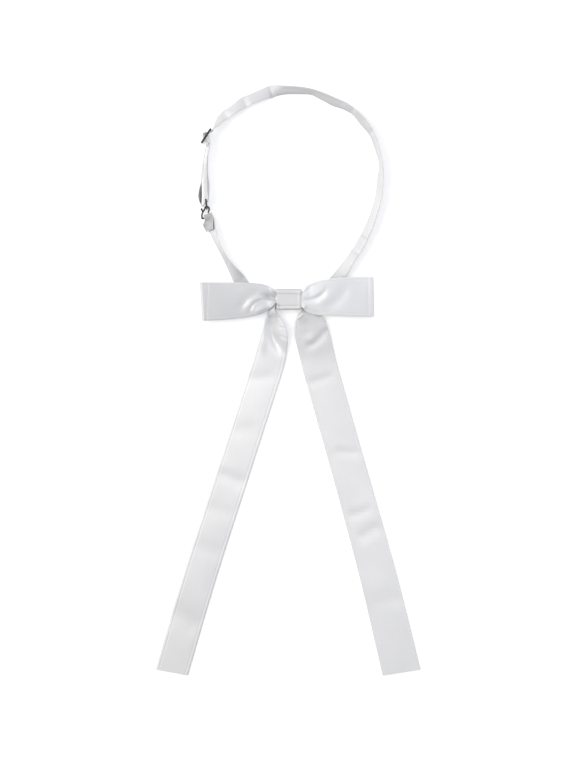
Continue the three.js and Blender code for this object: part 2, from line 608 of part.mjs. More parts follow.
const bowTie = new THREE.Group();
bowTie.add(
  piece("bow_loop_left", leftLoop, satin("#dcdddf")),
  piece("bow_loop_right", rightLoop, satin("#dedfe0")),
  piece("tail_left", tail(LEFT_TAIL, LEFT_TAIL_FOLDS), satin("#e6e6e6")),
  piece("tail_right", tail(RIGHT_TAIL, RIGHT_TAIL_FOLDS), satin("#e1e2e3")),
  piece("knot_wrap", knotWrap(), satin("#dcdcde")),
  piece("neck_strap", neckStrap(), satin("#dededf")),
  piece("strap_slider", metalFrame(SLIDER, SLIDER_LENGTH, sliderBars), blackMetal()),
  piece("strap_ring", metalFrame(RING, RING_LENGTH, ringBars), blackMetal()),
  piece("strap_hook", await strapHook(), blackMetal()),
);

export default bowTie;
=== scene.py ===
import math

import bmesh
import bpy
import numpy as np
from bpy.props import FloatProperty, FloatVectorProperty, PointerProperty
from mathutils import Matrix, Vector


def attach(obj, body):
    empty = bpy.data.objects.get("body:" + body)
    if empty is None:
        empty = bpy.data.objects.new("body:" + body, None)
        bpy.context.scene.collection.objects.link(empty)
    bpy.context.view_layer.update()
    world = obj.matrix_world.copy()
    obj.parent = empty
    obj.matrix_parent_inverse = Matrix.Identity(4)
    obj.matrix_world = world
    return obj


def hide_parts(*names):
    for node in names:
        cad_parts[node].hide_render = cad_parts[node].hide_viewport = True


bl_info = {
    "name": "Pre-tied bow tie",
    "version": (1, 0, 0),
    "blender": (4, 5, 0),
    "location": "3D View > Sidebar > Bow Tie",
    "description": "Makes a pre-tied satin bow tie with long tails and an adjustable neck strap, lying flat",
    "category": "Add Mesh",
}

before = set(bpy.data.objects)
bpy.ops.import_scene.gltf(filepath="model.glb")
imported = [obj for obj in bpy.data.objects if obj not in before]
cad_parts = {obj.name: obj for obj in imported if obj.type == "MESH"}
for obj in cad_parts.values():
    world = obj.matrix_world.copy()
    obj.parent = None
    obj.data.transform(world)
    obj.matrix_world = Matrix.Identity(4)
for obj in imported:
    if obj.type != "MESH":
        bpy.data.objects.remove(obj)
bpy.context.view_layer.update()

MM = 0.001

# The photograph's frame, and its scale worked out from the 10 mm strap
PHOTO_WIDTH = 576
PHOTO_HEIGHT = 768
MM_PER_PIXEL = 0.8
KNOT_PIXEL = (288.8, 299.5)


def table(names, *rows):
    """The columns of a short table, each under its name."""
    return dict(zip(names.split(), np.array(rows, float).T))


# Sections of a bow loop in millimetres. out is the distance from the knot's middle, bottom and top are the
# ribbon's two edges, and front and back are the heights of the middles of its front and back layers.
LOOP_COLUMNS = "out bottom top front back"
LEFT_LOOP = table(
    LOOP_COLUMNS,
    (0.4, -2.6, 6.0, 7.9, 3.9),
    (9.8, -2.9, 6.1, 8.1, 3.9),
    (13.4, -6.3, 9.2, 8.8, 3.3),
    (18.2, -9.6, 11.4, 8.9, 2.8),
    (23.0, -11.9, 12.6, 9.0, 2.4),
    (32.6, -14.2, 13.4, 9.0, 2.2),
    (42.2, -15.4, 13.6, 9.0, 1.9),
    (54.0, -16.4, 13.6, 9.3, 0.9),
    (68.6, -17.0, 13.7, 9.6, 0.9),
)
RIGHT_LOOP = table(
    LOOP_COLUMNS,
    (0.4, -6.0, 6.0, 7.9, 6.0),
    (9.8, -6.2, 6.1, 8.2, 6.0),
    (13.9, -9.8, 10.6, 8.6, 5.6),
    (18.0, -11.5, 12.9, 8.9, 4.9),
    (23.0, -12.3, 14.8, 9.0, 4.2),
    (29.8, -12.7, 16.1, 9.2, 3.5),
    (39.4, -13.2, 17.3, 9.3, 2.8),
    (52.0, -13.8, 17.9, 9.0, 0.9),
    (66.2, -13.9, 18.1, 9.0, 0.9),
)
# How much further out the fold stands at the top edge than at the bottom edge
LEFT_SKEW = 2.0
RIGHT_SKEW = -0.6

# Folds in the cloth, a row each: a line in plan that starts at from, bends towards via and ends at to, the
# height of its crest (a valley's is negative), the widths of its flanks left and right of the line, and the
# shares of its length over which it rises and falls away. A loop's folds count x outwards from the knot.
FOLD_COLUMNS = "from_x from_y via_x via_y to_x to_y height left right rise fall"
LEFT_LOOP_FOLDS = table(
    FOLD_COLUMNS,
    (9.5, 0.8, 17, 1.8, 25, 1.4, -4.4, 2.9, 1.5, 0.05, 0.6),
    (19, 4.4, 36, 4.4, 41, -13, -0.7, 4.5, 2.6, 0.3, 0.3),
    (15, 2.0, 30, 2.4, 35.6, -13, 0.9, 3.8, 1.4, 0.2, 0.5),
    (10, -0.6, 31, 3.4, 31.6, -13, -0.8, 1.1, 1.3, 0.1, 0.3),
    (9.4, -3.2, 18, -6.6, 30.5, -11.6, 1.5, 3.4, 2.2, 0.2, 0.4),
    (13, -6.6, 20, -11.0, 32, -14.4, -1.0, 1.4, 2.0, 0.2, 0.7),
    (13, 8.6, 20, 12.2, 34, 13.6, -0.7, 1.4, 1.2, 0.2, 0.6),
    (65.6, -18, 65.0, 0, 64.6, 15, -0.2, 0.7, 0.7, 0.02, 0.02),
)
RIGHT_LOOP_FOLDS = table(
    FOLD_COLUMNS,
    (9.4, 1.0, 27, 1.8, 28, 14, 1.0, 6.5, 1.8, 0.5, 0.4),
    (11, -0.6, 29, 0.2, 30.4, 13, -0.8, 1.4, 2.4, 0.1, 0.5),
    (9.6, -2.0, 16, -3.2, 26, -4.4, 0.5, 0.9, 4.5, 0.4, 0.5),
    (18, -3.0, 32, -4.6, 34, 9, 0.6, 2.4, 3.5, 0.35, 0.4),
    (24, -7.0, 44, -5.0, 46, 15, -1.0, 6.0, 4.2, 0.4, 0.3),
    (11, -7.6, 19, -13.0, 36, -13.8, -2.8, 2.6, 2.0, 0.15, 0.6),
    (10, 4.2, 15, 6.6, 20, 11.5, -0.3, 0.9, 1.4, 0.1, 0.6),
    (63.4, -15, 63.4, 0, 63.2, 19, -0.2, 0.7, 0.7, 0.02, 0.02),
)
# Where a loop's back layer rides up over the edge of the strap
LEFT_BACK_FOLDS = table(FOLD_COLUMNS, (42, 19, 35, 13, 23, 3, 2.4, 4.8, 4.8, 0.5, 0.5))
RIGHT_BACK_FOLDS = table(FOLD_COLUMNS, (49, 23, 44, 16, 35, 5, 4.3, 5.2, 5.2, 0.5, 0.5))

# Sections of a tail in millimetres: the two ends of the section in plan, the height of the cloth's middle at
# them, and arch, how far the gathered ribbon bulges up between its edges.
TAIL_COLUMNS = "left_x left_y right_x right_y height arch"
LEFT_TAIL = table(
    TAIL_COLUMNS,
    (-3.0, -2.8, -3.0, -6.8, 5.8, 1.6),
    (-9.9, -2.2, -10.1, -7.0, 6.0, 1.8),
    (-12.0, -2.8, -10.2, -8.0, 6.9, 1.4),
    (-13.9, -4.4, -10.2, -9.2, 6.9, 1.8),
    (-16.0, -8.0, -8.4, -12.6, 6.3, 1.6),
    (-17.6, -13.2, -4.8, -17.0, 5.1, 0.9),
    (-20.0, -18.2, -2.0, -22.8, 4.0, 0.4),
    (-22.6, -25.6, -0.8, -29.6, 3.1, 0.4),
    (-25.2, -34.6, -0.9, -37.0, 2.2, 0.4),
    (-28.9, -48.0, -2.5, -48.4, 1.4, 0.3),
    (-33.0, -61.0, -5.9, -61.0, 0.9, 0.2),
    (-38.5, -78.0, -11.3, -78.0, 0.9, 0.2),
    (-46.3, -102.0, -19.0, -102.0, 0.9, 0.2),
    (-60.8, -147.0, -33.4, -147.0, 0.9, 0.2),
    (-85.0, -222.0, -57.2, -221.0, 0.9, 0.2),
    (-106.6, -296.0, -80.6, -300.8, 0.7, 0.0),
)
RIGHT_TAIL = table(
    TAIL_COLUMNS,
    (3.0, -6.6, 3.0, -1.0, 4.4, 0.5),
    (9.8, -6.6, 10.2, -1.2, 4.4, 0.5),
    (10.4, -9.2, 13.4, -2.5, 4.2, 0.5),
    (7.6, -12.2, 17.6, -4.7, 3.8, 0.6),
    (5.4, -16.2, 22.4, -8.2, 3.4, 0.7),
    (4.4, -21.8, 27.2, -14.2, 3.0, 0.7),
    (4.6, -27.6, 31.0, -21.6, 2.6, 0.7),
    (6.0, -35.6, 34.0, -32.0, 2.0, 0.6),
    (9.0, -47.6, 37.2, -45.6, 1.1, 0.3),
    (12.4, -61.0, 41.2, -60.4, 0.9, 0.2),
    (17.2, -78.0, 46.2, -78.0, 0.9, 0.2),
    (23.9, -102.0, 53.0, -102.0, 0.9, 0.2),
    (36.6, -147.0, 65.8, -147.0, 0.9, 0.2),
    (57.0, -224.0, 87.0, -222.0, 0.9, 0.2),
    (75.0, -300.8, 105.6, -296.0, 0.7, 0.0),
)
LEFT_TAIL_FOLDS = table(
    FOLD_COLUMNS,
    (-13.6, -10, -17.4, -26, -4.8, -47, -3.0, 3.6, 3.2, 0.15, 0.4),
    (-7.6, -14, -0.5, -26, -1.5, -46, 1.0, 2.0, 6.0, 0.35, 0.4),
    (-17.4, -12, -23.0, -26, -18.0, -48, 1.1, 2.2, 3.4, 0.2, 0.4),
    (-11.8, -10.8, -9.0, -13, -7.0, -16.4, -0.25, 0.8, 0.8, 0.3, 0.3),
    (-8.6, -22, -5.0, -22, -2.2, -23.6, -0.16, 0.9, 0.9, 0.3, 0.3),
    (-7.0, -28.4, -4.0, -30, -1.4, -33.2, -0.14, 1.0, 1.0, 0.3, 0.3),
)
RIGHT_TAIL_FOLDS = table(
    FOLD_COLUMNS,
    (11, -38, 25, -37, 31, -19, -0.55, 3.0, 3.5, 0.3, 0.3),
    (10, -14, 17, -24, 15, -33, -0.4, 3.0, 4.0, 0.3, 0.4),
    (6.4, -16, 9, -14.4, 12, -11, 0.4, 0.9, 0.9, 0.3, 0.3),
    (26, -12, 29, -18, 29.4, -26, 0.3, 1.6, 1.8, 0.3, 0.3),
)

# Faint waves across the tails where they were folded for packing
PACKING_FOLDS = table(
    FOLD_COLUMNS,
    (-44, -66, -26, -64, -6, -60, -0.30, 5.0, 5.0, 0.3, 0.3),
    (-50, -108, -36, -104, -22, -102, -0.36, 7.0, 7.0, 0.3, 0.3),
    (-62, -138, -46, -142, -32, -150, -0.55, 6.0, 6.0, 0.3, 0.3),
    (-72, -164, -54, -170, -40, -172, -0.25, 6.0, 6.0, 0.3, 0.3),
    (-84, -196, -66, -198, -50, -206, -0.28, 7.0, 7.0, 0.3, 0.3),
    (-98, -246, -84, -254, -70, -268, -0.45, 9.0, 9.0, 0.3, 0.3),
    (12, -68, 24, -66, 40, -58, -0.30, 4.0, 4.0, 0.3, 0.3),
    (34, -120, 46, -124, 60, -122, -0.30, 4.0, 4.0, 0.3, 0.3),
    (44, -172, 56, -174, 68, -164, -0.30, 4.0, 4.0, 0.3, 0.3),
    (52, -192, 64, -188, 76, -178, -0.35, 5.0, 5.0, 0.3, 0.3),
    (64, -240, 80, -244, 92, -236, -0.25, 8.0, 8.0, 0.3, 0.3),
)

# How far a pressed seam lies from the cloth's edge, and the share of the cloth's thickness that it takes away
RIBBON_SEAM = {"seam": 2.2 * MM, "depth": 0.3}
STRAP_SEAM = {"seam": 1.4 * MM, "depth": 0.12}

# The knot's wrap in millimetres: its outside, how far inside that the middle of its cloth lies, and the folds
# on its front
KNOT_WIDTH = 19.6
KNOT_HEIGHT = 16.8
KNOT_DEPTH = 10.0
KNOT_CORNER = 1.3
KNOT_INSET = 0.5
KNOT_FOLDS = table(
    FOLD_COLUMNS,
    (-9.8, -5.4, 0, -5.6, 9.8, -5.3, -0.14, 0.8, 0.8, 0.02, 0.02),
    (-9.8, 5.6, 0, 5.4, 9.8, 5.0, 0.16, 0.8, 0.8, 0.02, 0.02),
    (8.2, -8, 8.3, 0, 8.2, 8, 0.3, 0.7, 2.5, 0.1, 0.1),
    (-9.8, -4, -7.6, -5, -6.4, -7.6, -0.35, 0.7, 0.7, 0.1, 0.3),
)

# The neck strap in millimetres and degrees, from the hook to the slider: its middle in plan, roll, the lean
# of its face (0 lies flat, 90 stands on edge with the outer edge up, below 0 the inner edge is the upper
# one), and rise, the height of its lower edge.
ROUTE_COLUMNS = "x y roll rise"
NECK_ROUTE = table(
    ROUTE_COLUMNS,
    (-59.4, 51.0, -62, 0.1),
    (-56.1, 42.8, -72, 0.1),
    (-50.9, 33.2, -70, 0.1),
    (-45.1, 24.0, -50, 0.1),
    (-42.8, 20.6, -36, 0.1),
    (-40.8, 17.7, -22, 0.1),
    (-38.4, 14.4, -8, 0.1),
    (-34.2, 8.8, 0, 0.1),
    (-27.0, 2.9, 0, 0.1),
    (-18.0, 0.3, 0, 0.5),
    (-9.0, 0.0, 0, 1.3),
    (0.0, 0.0, 0, 1.3),
    (9.0, 0.0, 0, 1.3),
    (17.5, 0.8, 0, 0.5),
    (26.0, 4.6, 0, 0.1),
    (33.0, 10.2, 0, 0.1),
    (37.4, 14.9, 3, 0.1),
    (40.4, 18.6, 8, 0.1),
    (43.0, 22.2, 21, 0.1),
    (45.8, 26.2, 35, 0.1),
    (48.8, 31.1, 45, 0.1),
    (57.3, 44.1, 45, 0.1),
    (65.4, 61.3, 54, 0.1),
    (71.2, 79.6, 60, 0.1),
    (73.2, 96.0, 62, 0.1),
    (73.7, 107.9, 74, 0.1),
    (71.2, 119.0, 70, 0.1),
    (66.4, 132.4, 66, 0.1),
    (59.6, 141.6, 56, 0.1),
    (52.6, 149.4, 64, 0.1),
    (44.6, 154.6, 56, 0.1),
    (35.8, 158.0, 50, 0.1),
    (27.2, 162.2, 56, 0.1),
    (18.5, 165.8, 64, 0.1),
    (9.0, 167.0, 56, 0.1),
    (-3.0, 167.3, 48, 0.1),
    (-11.0, 166.8, 24, 0.1),
    (-18.0, 165.0, -22, 0.1),
    (-30.0, 160.2, -34, 0.1),
    (-37.0, 157.0, -28, 0.1),
    (-44.0, 152.0, -46, 0.1),
    (-50.6, 147.6, -42, 0.1),
    (-54.4, 144.4, -52, 0.3),
    (-57.6, 140.0, -68, 0.9),
)

# Kinks and long creases pressed into the strap
STRAP_KINKS = table(
    FOLD_COLUMNS,
    (70, 46, 64, 49, 58, 54, -0.8, 2.2, 2.8, 0.1, 0.1),
    (62, 32, 56, 36, 50, 41, -0.5, 1.8, 1.8, 0.1, 0.1),
    (76, 88, 70, 88, 64, 89, -0.6, 2.0, 2.4, 0.1, 0.1),
    (56, 160, 52, 152, 47, 144, -1.0, 2.2, 3.0, 0.1, 0.1),
    (70, 136, 64, 132, 59, 128, -0.8, 2.0, 2.6, 0.1, 0.1),
    (-38, 165, -35, 157, -31, 148, -0.9, 3.0, 2.6, 0.1, 0.1),
    (-55, 154, -51, 147, -47, 140, -0.9, 3.0, 2.6, 0.1, 0.1),
    (-58, 36, -52, 33, -46, 29, -0.4, 2.0, 2.0, 0.1, 0.1),
    (-8, 168.4, 20, 168.6, 46, 154.4, -0.8, 1.2, 1.2, 0.1, 0.1),
    (-51.6, 37.4, -42.6, 27.0, -33.6, 15.6, -0.8, 0.9, 1.0, 0.2, 0.2),
)

# The doubled stretch between the slider and the ring: down the outer side, round a slack turn, through the
# ring and up the inner side
DOUBLED = table(
    ROUTE_COLUMNS,
    (-66.6, 119.6, -88, 1.8),
    (-67.4, 114.8, -88, 1.8),
    (-68.4, 108.5, -86, 1.8),
    (-69.1, 101.0, -84, 1.8),
    (-70.0, 93.5, -90, 1.8),
    (-70.7, 87.5, -101, 1.8),
    (-71.0, 82.8, -106, 1.8),
    (-70.8, 78.8, -100, 1.8),
    (-70.0, 75.6, -90, 1.8),
    (-69.0, 74.5, -90, 1.8),
    (-68.0, 75.2, -90, 1.8),
    (-67.4, 76.6, -90, 1.8),
    (-66.0, 77.5, -90, 1.8),
    (-64.6, 78.9, -90, 1.8),
    (-64.3, 82.0, -86, 1.8),
    (-64.6, 86.5, -80, 1.8),
    (-64.7, 91.5, -79, 1.8),
    (-65.2, 98.0, -84, 1.8),
    (-65.4, 105.0, -87, 1.8),
    (-65.2, 111.0, -88, 1.8),
    (-64.7, 115.5, -90, 1.8),
    (-63.9, 119.8, -90, 1.8),
)

# The strap beside the slider, where it stands on edge. along runs up the slider from its middle, and across
# from its middle towards the inside of the neck loop.
SLIDER_COLUMNS = "along across"
THREADED = table(
    SLIDER_COLUMNS,
    (7.0, 2.0),
    (5.4, 1.5),
    (3.4, 0.0),
    (1.6, -2.2),
    (0.0, -2.8),
    (-1.6, -2.1),
    (-3.2, 0.2),
    (-5.2, 3.4),
)
RETURN_END = table(SLIDER_COLUMNS, (-3.7, 5.8), (-1.6, 4.0), (0.3, 1.9))
SEWN_FLAP = table(SLIDER_COLUMNS, (-1.9, 0.8), (-3.1, 2.7), (-4.5, 4.6), (-6.6, 5.6))
ON_EDGE = {"roll": -90, "rise": 1.8}

# The strap's short end from the hook's bar outwards: away from the bar, the reach of its edges left and right
# of the bar's middle, its roll and rise, apart, the distance from the strap up to the end that is folded back
# over it, and aside, how far that end lies to the left.
HOOK_END = table(
    "away left right roll rise apart aside",
    (1.6, 2.6, 4.5, -4, 0.1, 2.9, 0.0),
    (3.2, 3.4, 4.8, -12, 0.1, 1.9, 0.2),
    (5.0, 5.0, 5.0, -28, 0.1, 1.2, 0.7),
    (7.0, 5.0, 5.0, -38, 0.1, 0.9, 1.1),
    (9.0, 5.0, 5.0, -47, 0.1, 0.8, 1.4),
    (11.0, 5.0, 5.0, -54, 0.1, 0.8, 1.6),
)
ON_HOOK_BAR = {"left": 2.6, "right": 4.5}

# The hardware in millimetres. A place is the middle in plan and the heading of the piece's length in degrees.
STRAP_WIDTH = 10.0
CAD_CLOTH = 1.0
METAL = 1.3
CLEARANCE = 0.3
HARDWARE_HEIGHT = 13.6
SLIDER_LENGTH = 13.8
RING_LENGTH = 8.4
SLIDER_PLACE = (-66.04, 130.6, 56.8)
RING_PLACE = (-65.88, 76.05, 96.0)
HOOK_PLACE = (-65.2, 66.2, -68.5)
HOOK_Z = METAL * 1.5 + CLEARANCE
# How far from a bar's middle the middle of the strap is wound round it, clear of the bar's corners
WOUND = METAL * 0.65 + CLEARANCE + CAD_CLOTH / 2
# The hook's wire in plan: its bar, up one side, over the arch and down to the tip, and the spur at its side
HOOK_WIRE = [
    (-61.6, 67.63),
    (-65.2, 66.2),
    (-68.9, 64.75),
    (-69.5, 66.2),
    (-69.4, 67.9),
    (-68.6, 70.1),
    (-67.4, 72.0),
    (-66.9, 73.6),
    (-65.5, 74.3),
    (-64.1, 73.6),
    (-63.7, 72.3),
    (-63.9, 70.9),
    (-64.4, 69.6),
]
HOOK_SPUR = [(-68.7, 70.0), (-69.3, 71.1), (-69.9, 72.4)]


def linear(code):
    """An sRGB hex colour as linear red, green and blue."""
    channels = [int(code[k : k + 2], 16) / 255 for k in (1, 3, 5)]
    return tuple(c / 12.92 if c <= 0.04045 else ((c + 0.055) / 1.055) ** 2.4 for c in channels)


def unit(vectors):
    """The vectors at length 1."""
    return vectors / np.maximum(np.linalg.norm(vectors, axis=-1, keepdims=True), 1e-12)


def smoothstep(t):
    """0 below 0, 1 above 1, and a smooth step between."""
    t = np.clip(t, 0, 1)
    return t * t * (3 - 2 * t)


def column(rows, name, at):
    """A column's values at fractional rows, on a smooth curve through the rows."""
    values = rows[name]
    last = len(values) - 1
    row = np.clip(np.floor(at).astype(int), 0, last - 1)
    a, b, c, d = (values[np.clip(row + k, 0, last)] for k in (-1, 0, 1, 2))
    t = at - row
    slope_in = (c - a) / 2
    slope_out = (d - b) / 2
    rise = c - b
    bend = 3 * rise - 2 * slope_in - slope_out
    return b + t * (slope_in + t * (bend + t * (slope_in + slope_out - 2 * rise)))


def fold_height(folds, x, y):
    """Height that a table of folds adds at points in plan."""
    LINE_STEPS = 24
    total = np.zeros_like(x)
    t = np.linspace(0, 1, LINE_STEPS + 1)
    for row in range(len(folds["height"])):
        fold = {name: values[row] for name, values in folds.items()}
        line_x = (1 - t) ** 2 * fold["from_x"] + 2 * t * (1 - t) * fold["via_x"] + t**2 * fold["to_x"]
        line_y = (1 - t) ** 2 * fold["from_y"] + 2 * t * (1 - t) * fold["via_y"] + t**2 * fold["to_y"]
        step_x = np.diff(line_x)
        step_y = np.diff(line_y)
        off_x = x[..., None] - line_x[:-1]
        off_y = y[..., None] - line_y[:-1]
        share = np.clip((off_x * step_x + off_y * step_y) / (step_x**2 + step_y**2), 0, 1)
        distance = np.hypot(off_x - share * step_x, off_y - share * step_y)
        nearest = distance.argmin(axis=-1)[..., None]
        share = np.take_along_axis(share, nearest, -1)[..., 0]
        distance = np.take_along_axis(distance, nearest, -1)[..., 0]
        turn = np.take_along_axis(step_x * off_y - step_y * off_x, nearest, -1)[..., 0]
        reached = (nearest[..., 0] + share) / LINE_STEPS
        flank = np.where(turn > 0, fold["left"], fold["right"])
        fade = smoothstep(reached / fold["rise"]) * smoothstep((1 - reached) / fold["fall"])
        total += fold["height"] * fade * np.exp(-((distance / flank) ** 2))
    return total


def across_places(columns):
    """Places across a ribbon from 0 to 1, closer together towards its edges."""
    return 0.5 - 0.5 * np.cos(np.linspace(0, math.pi, columns + 1))


def edge_turn(from_edge):
    """How far a ribbon's pressed edge turns down, in millimetres, at distances from that edge."""
    TURN_DEPTH = 0.16
    TURN_WIDTH = 0.6
    return -TURN_DEPTH * np.exp(-((from_edge / TURN_WIDTH) ** 2))


def seamed(grid, thickness, seam, depth):
    """The cloth's thickness over a grid of points, with a pressed seam's shallow groove beside both edges."""
    GROOVE = 0.45 * MM
    steps = np.linalg.norm(np.diff(grid, axis=1), axis=2)
    reach = np.concatenate([np.zeros((len(grid), 1)), np.cumsum(steps, axis=1)], axis=1)
    from_edge = np.minimum(reach, reach[:, -1:] - reach)
    return thickness * (1 - depth * np.exp(-(((from_edge - seam) / GROOVE) ** 2)))


def make_object(name, mesh, material):
    """An object in the scene with its mesh and material."""
    mesh.materials.append(material)
    made = bpy.data.objects.new(name, mesh)
    bpy.context.scene.collection.objects.link(made)
    return made


def cloth_mesh(name, grid, thickness, ring=False):
    """A wall of cloth with round edges, whose middle is a grid of points in metres and whose thickness is one
    number or one for each point. Its UV map is in metres: u runs round the section and v along the cloth. A
    ring's last row meets its first."""
    ROUND_STEPS = 3
    rows, columns = grid.shape[:2]
    if ring:
        along = np.roll(grid, -1, axis=0) - np.roll(grid, 1, axis=0)
    else:
        along = np.gradient(grid, axis=0)
    across = unit(np.gradient(grid, axis=1))
    normal = unit(np.cross(along, across))
    half = np.broadcast_to(thickness, (rows, columns))[..., None] / 2
    places = [grid + half * normal]
    for column_at, turn in ((columns - 1, 1), (0, -1)):
        edge = grid[:, column_at]
        outwards = np.cross(along[:, column_at], normal[:, column_at])
        outwards = -turn * unit(outwards)
        angles = math.pi * np.arange(1, ROUND_STEPS + 1) / (ROUND_STEPS + 1)
        if turn < 0:
            angles = math.pi + angles
        rim = [
            edge + half[:, column_at] * (math.cos(a) * normal[:, column_at] + abs(math.sin(a)) * outwards)
            for a in angles
        ]
        places.append(np.stack(rim, axis=1))
        if turn > 0:
            places.append((grid - half * normal)[:, ::-1])
    section = np.concatenate(places, axis=1)
    count = section.shape[1]
    around = np.cumsum(np.linalg.norm(np.diff(section, axis=1, append=section[:, :1]), axis=2), axis=1)
    around = np.concatenate([np.zeros((rows, 1)), around], axis=1)
    middle = grid[:, columns // 2]
    steps = np.linalg.norm(np.diff(middle, axis=0, append=middle[:1]), axis=1)
    length = np.concatenate([[0], np.cumsum(steps)])
    bands = rows if ring else rows - 1
    faces = []
    corners = []
    for i in range(bands):
        for k in range(count):
            following = (k + 1) % count
            here = i * count
            there = ((i + 1) % rows) * count
            faces.append((here + k, there + k, there + following, here + following))
            u = (around[i, k], around[(i + 1) % rows, k], around[(i + 1) % rows, k + 1], around[i, k + 1])
            v = (length[i], length[i + 1], length[i + 1], length[i])
            corners.extend(zip(u, v))
    smooth_faces = len(faces)
    if not ring:
        top = list(range(columns))
        rim_end = list(range(columns, columns + ROUND_STEPS))
        bottom = list(range(columns + ROUND_STEPS, 2 * columns + ROUND_STEPS))[::-1]
        rim_start = list(range(2 * columns + ROUND_STEPS, count))
        cap = [(top[j], top[j + 1], bottom[j + 1], bottom[j]) for j in range(columns - 1)]
        cap.append((top[-1], *rim_end, bottom[-1]))
        cap.append((bottom[0], *rim_start, top[0]))
        base = (rows - 1) * count
        faces.extend(cap)
        faces.extend(tuple(base + k for k in reversed(face)) for face in cap)
        for face in faces[smooth_faces:]:
            corners.extend((around[0, k % count], 0) for k in face)
    mesh = bpy.data.meshes.new(name)
    mesh.from_pydata(section.reshape(-1, 3).tolist(), [], faces)
    lower_side = np.zeros((rows, count), np.float32)
    lower_side[:, columns + ROUND_STEPS : 2 * columns + ROUND_STEPS] = 1
    mesh.attributes.new("reverse", "FLOAT", "POINT").data.foreach_set("value", lower_side.ravel())
    flat = mesh.attributes.new("sharp_face", "BOOLEAN", "FACE")
    flat.data.foreach_set("value", [k >= smooth_faces for k in range(len(faces))])
    uv = mesh.uv_layers.new(name="thread")
    uv.data.foreach_set("uv", np.array(corners, np.float32).ravel())
    mesh.update()
    return mesh


def inset_between(first, second, half_thickness, across):
    """Points from first to second at places from 0 to 1, with both ends drawn in for the round edges."""
    width = np.linalg.norm(second - first, axis=-1)[:, None]
    inset = np.minimum(half_thickness / np.maximum(width, 1e-9), 0.45)
    share = inset + (1 - 2 * inset) * across
    return first[:, None] + (second - first)[:, None] * share[..., None]


def loop_grid(side, sections, front_folds, back_folds, skew, thickness):
    """The middle of one bow loop: the front layer out from the knot, a round fold and the back layer home."""
    LAYER_ROWS = 130
    ROUND_ROWS = 20
    COLUMNS = 64
    FOLD_REACH = 1.3
    ARCH = 1.0
    ARCH_START = 12.0
    ARCH_RUN = 20.0
    LIP = 0.9
    LIP_INSIDE = 0.25
    LIP_RUN = 0.6
    LIP_END = 18.0
    LIP_FADE = 7.0
    last = len(sections["out"]) - 1
    reach = sections["out"][-1]
    places = across_places(COLUMNS)

    def points(at, bulge, height, arch, folds):
        out = column(sections, "out", at)
        edge = np.zeros_like(out)
        low = np.stack([edge, column(sections, "bottom", at)], axis=1)
        high = np.stack([edge, column(sections, "top", at)], axis=1)
        y = inset_between(low, high, thickness / MM / 2, places)[..., 1]
        across = (y - low[:, 1:]) / (high[:, 1:] - low[:, 1:])
        x = out[:, None] + bulge[:, None] + skew * (across - 0.5) * (out[:, None] / reach) ** 3
        z = height[:, None] + arch[:, None] * (1 - (2 * across - 1) ** 2)
        z += fold_height(folds, x, y) if folds else 0
        return np.stack([side * x, y, z], axis=2)

    def front_edges(layer):
        y = layer[..., 1]
        return edge_turn(y - y.min(axis=1, keepdims=True)) + edge_turn(y.max(axis=1, keepdims=True) - y)

    at = np.linspace(0, last, LAYER_ROWS + 1)
    still = np.zeros_like(at)
    arched = ARCH * smoothstep((column(sections, "out", at) - ARCH_START) / ARCH_RUN)
    front = points(at, still, column(sections, "front", at), arched, front_folds)
    # The gathered ribbon stands up in a lip where it comes out of the knot
    out = side * front[..., 0]
    lip = LIP * smoothstep((out - KNOT_WIDTH / 2 + LIP_INSIDE) / LIP_RUN)
    lip *= smoothstep((LIP_END - out) / LIP_FADE)
    front[..., 2] += front_edges(front) + lip
    back = points(at, still, column(sections, "back", at), still, back_folds)[::-1]
    turn = math.pi * np.arange(1, ROUND_ROWS) / ROUND_ROWS
    middle = (sections["front"][-1] + sections["back"][-1]) / 2
    radius = (sections["front"][-1] - sections["back"][-1]) / 2
    end = np.full_like(turn, last)
    height = middle + radius * np.cos(turn)
    fold = points(end, FOLD_REACH * np.sin(turn), height, ARCH * (1 + np.cos(turn)) / 2, None)
    grid = np.concatenate([front, fold, back]) * MM
    return grid if side > 0 else grid[:, ::-1]


def tail_grid(sections, folds, thickness):
    """The middle of one long tail, from inside the knot to its straight cut end."""
    ROWS = 420
    COLUMNS = 56
    at = np.linspace(0, len(sections["height"]) - 1, ROWS + 1)
    left = np.stack([column(sections, "left_x", at), column(sections, "left_y", at)], axis=1)
    right = np.stack([column(sections, "right_x", at), column(sections, "right_y", at)], axis=1)
    places = across_places(COLUMNS)
    plan = inset_between(left, right, thickness / MM / 2, places)
    x, y = plan[..., 0], plan[..., 1]
    width = np.linalg.norm(right - left, axis=1)[:, None]
    arch = column(sections, "arch", at)[:, None] * np.sin(math.pi * places)
    edges = edge_turn(width * places) + edge_turn(width * (1 - places))
    z = column(sections, "height", at)[:, None] + arch + edges
    z = z + fold_height(folds, x, y) + fold_height(PACKING_FOLDS, x, y)
    z = np.maximum(z, thickness / MM / 2)
    return np.stack([x, y, z], axis=2) * MM


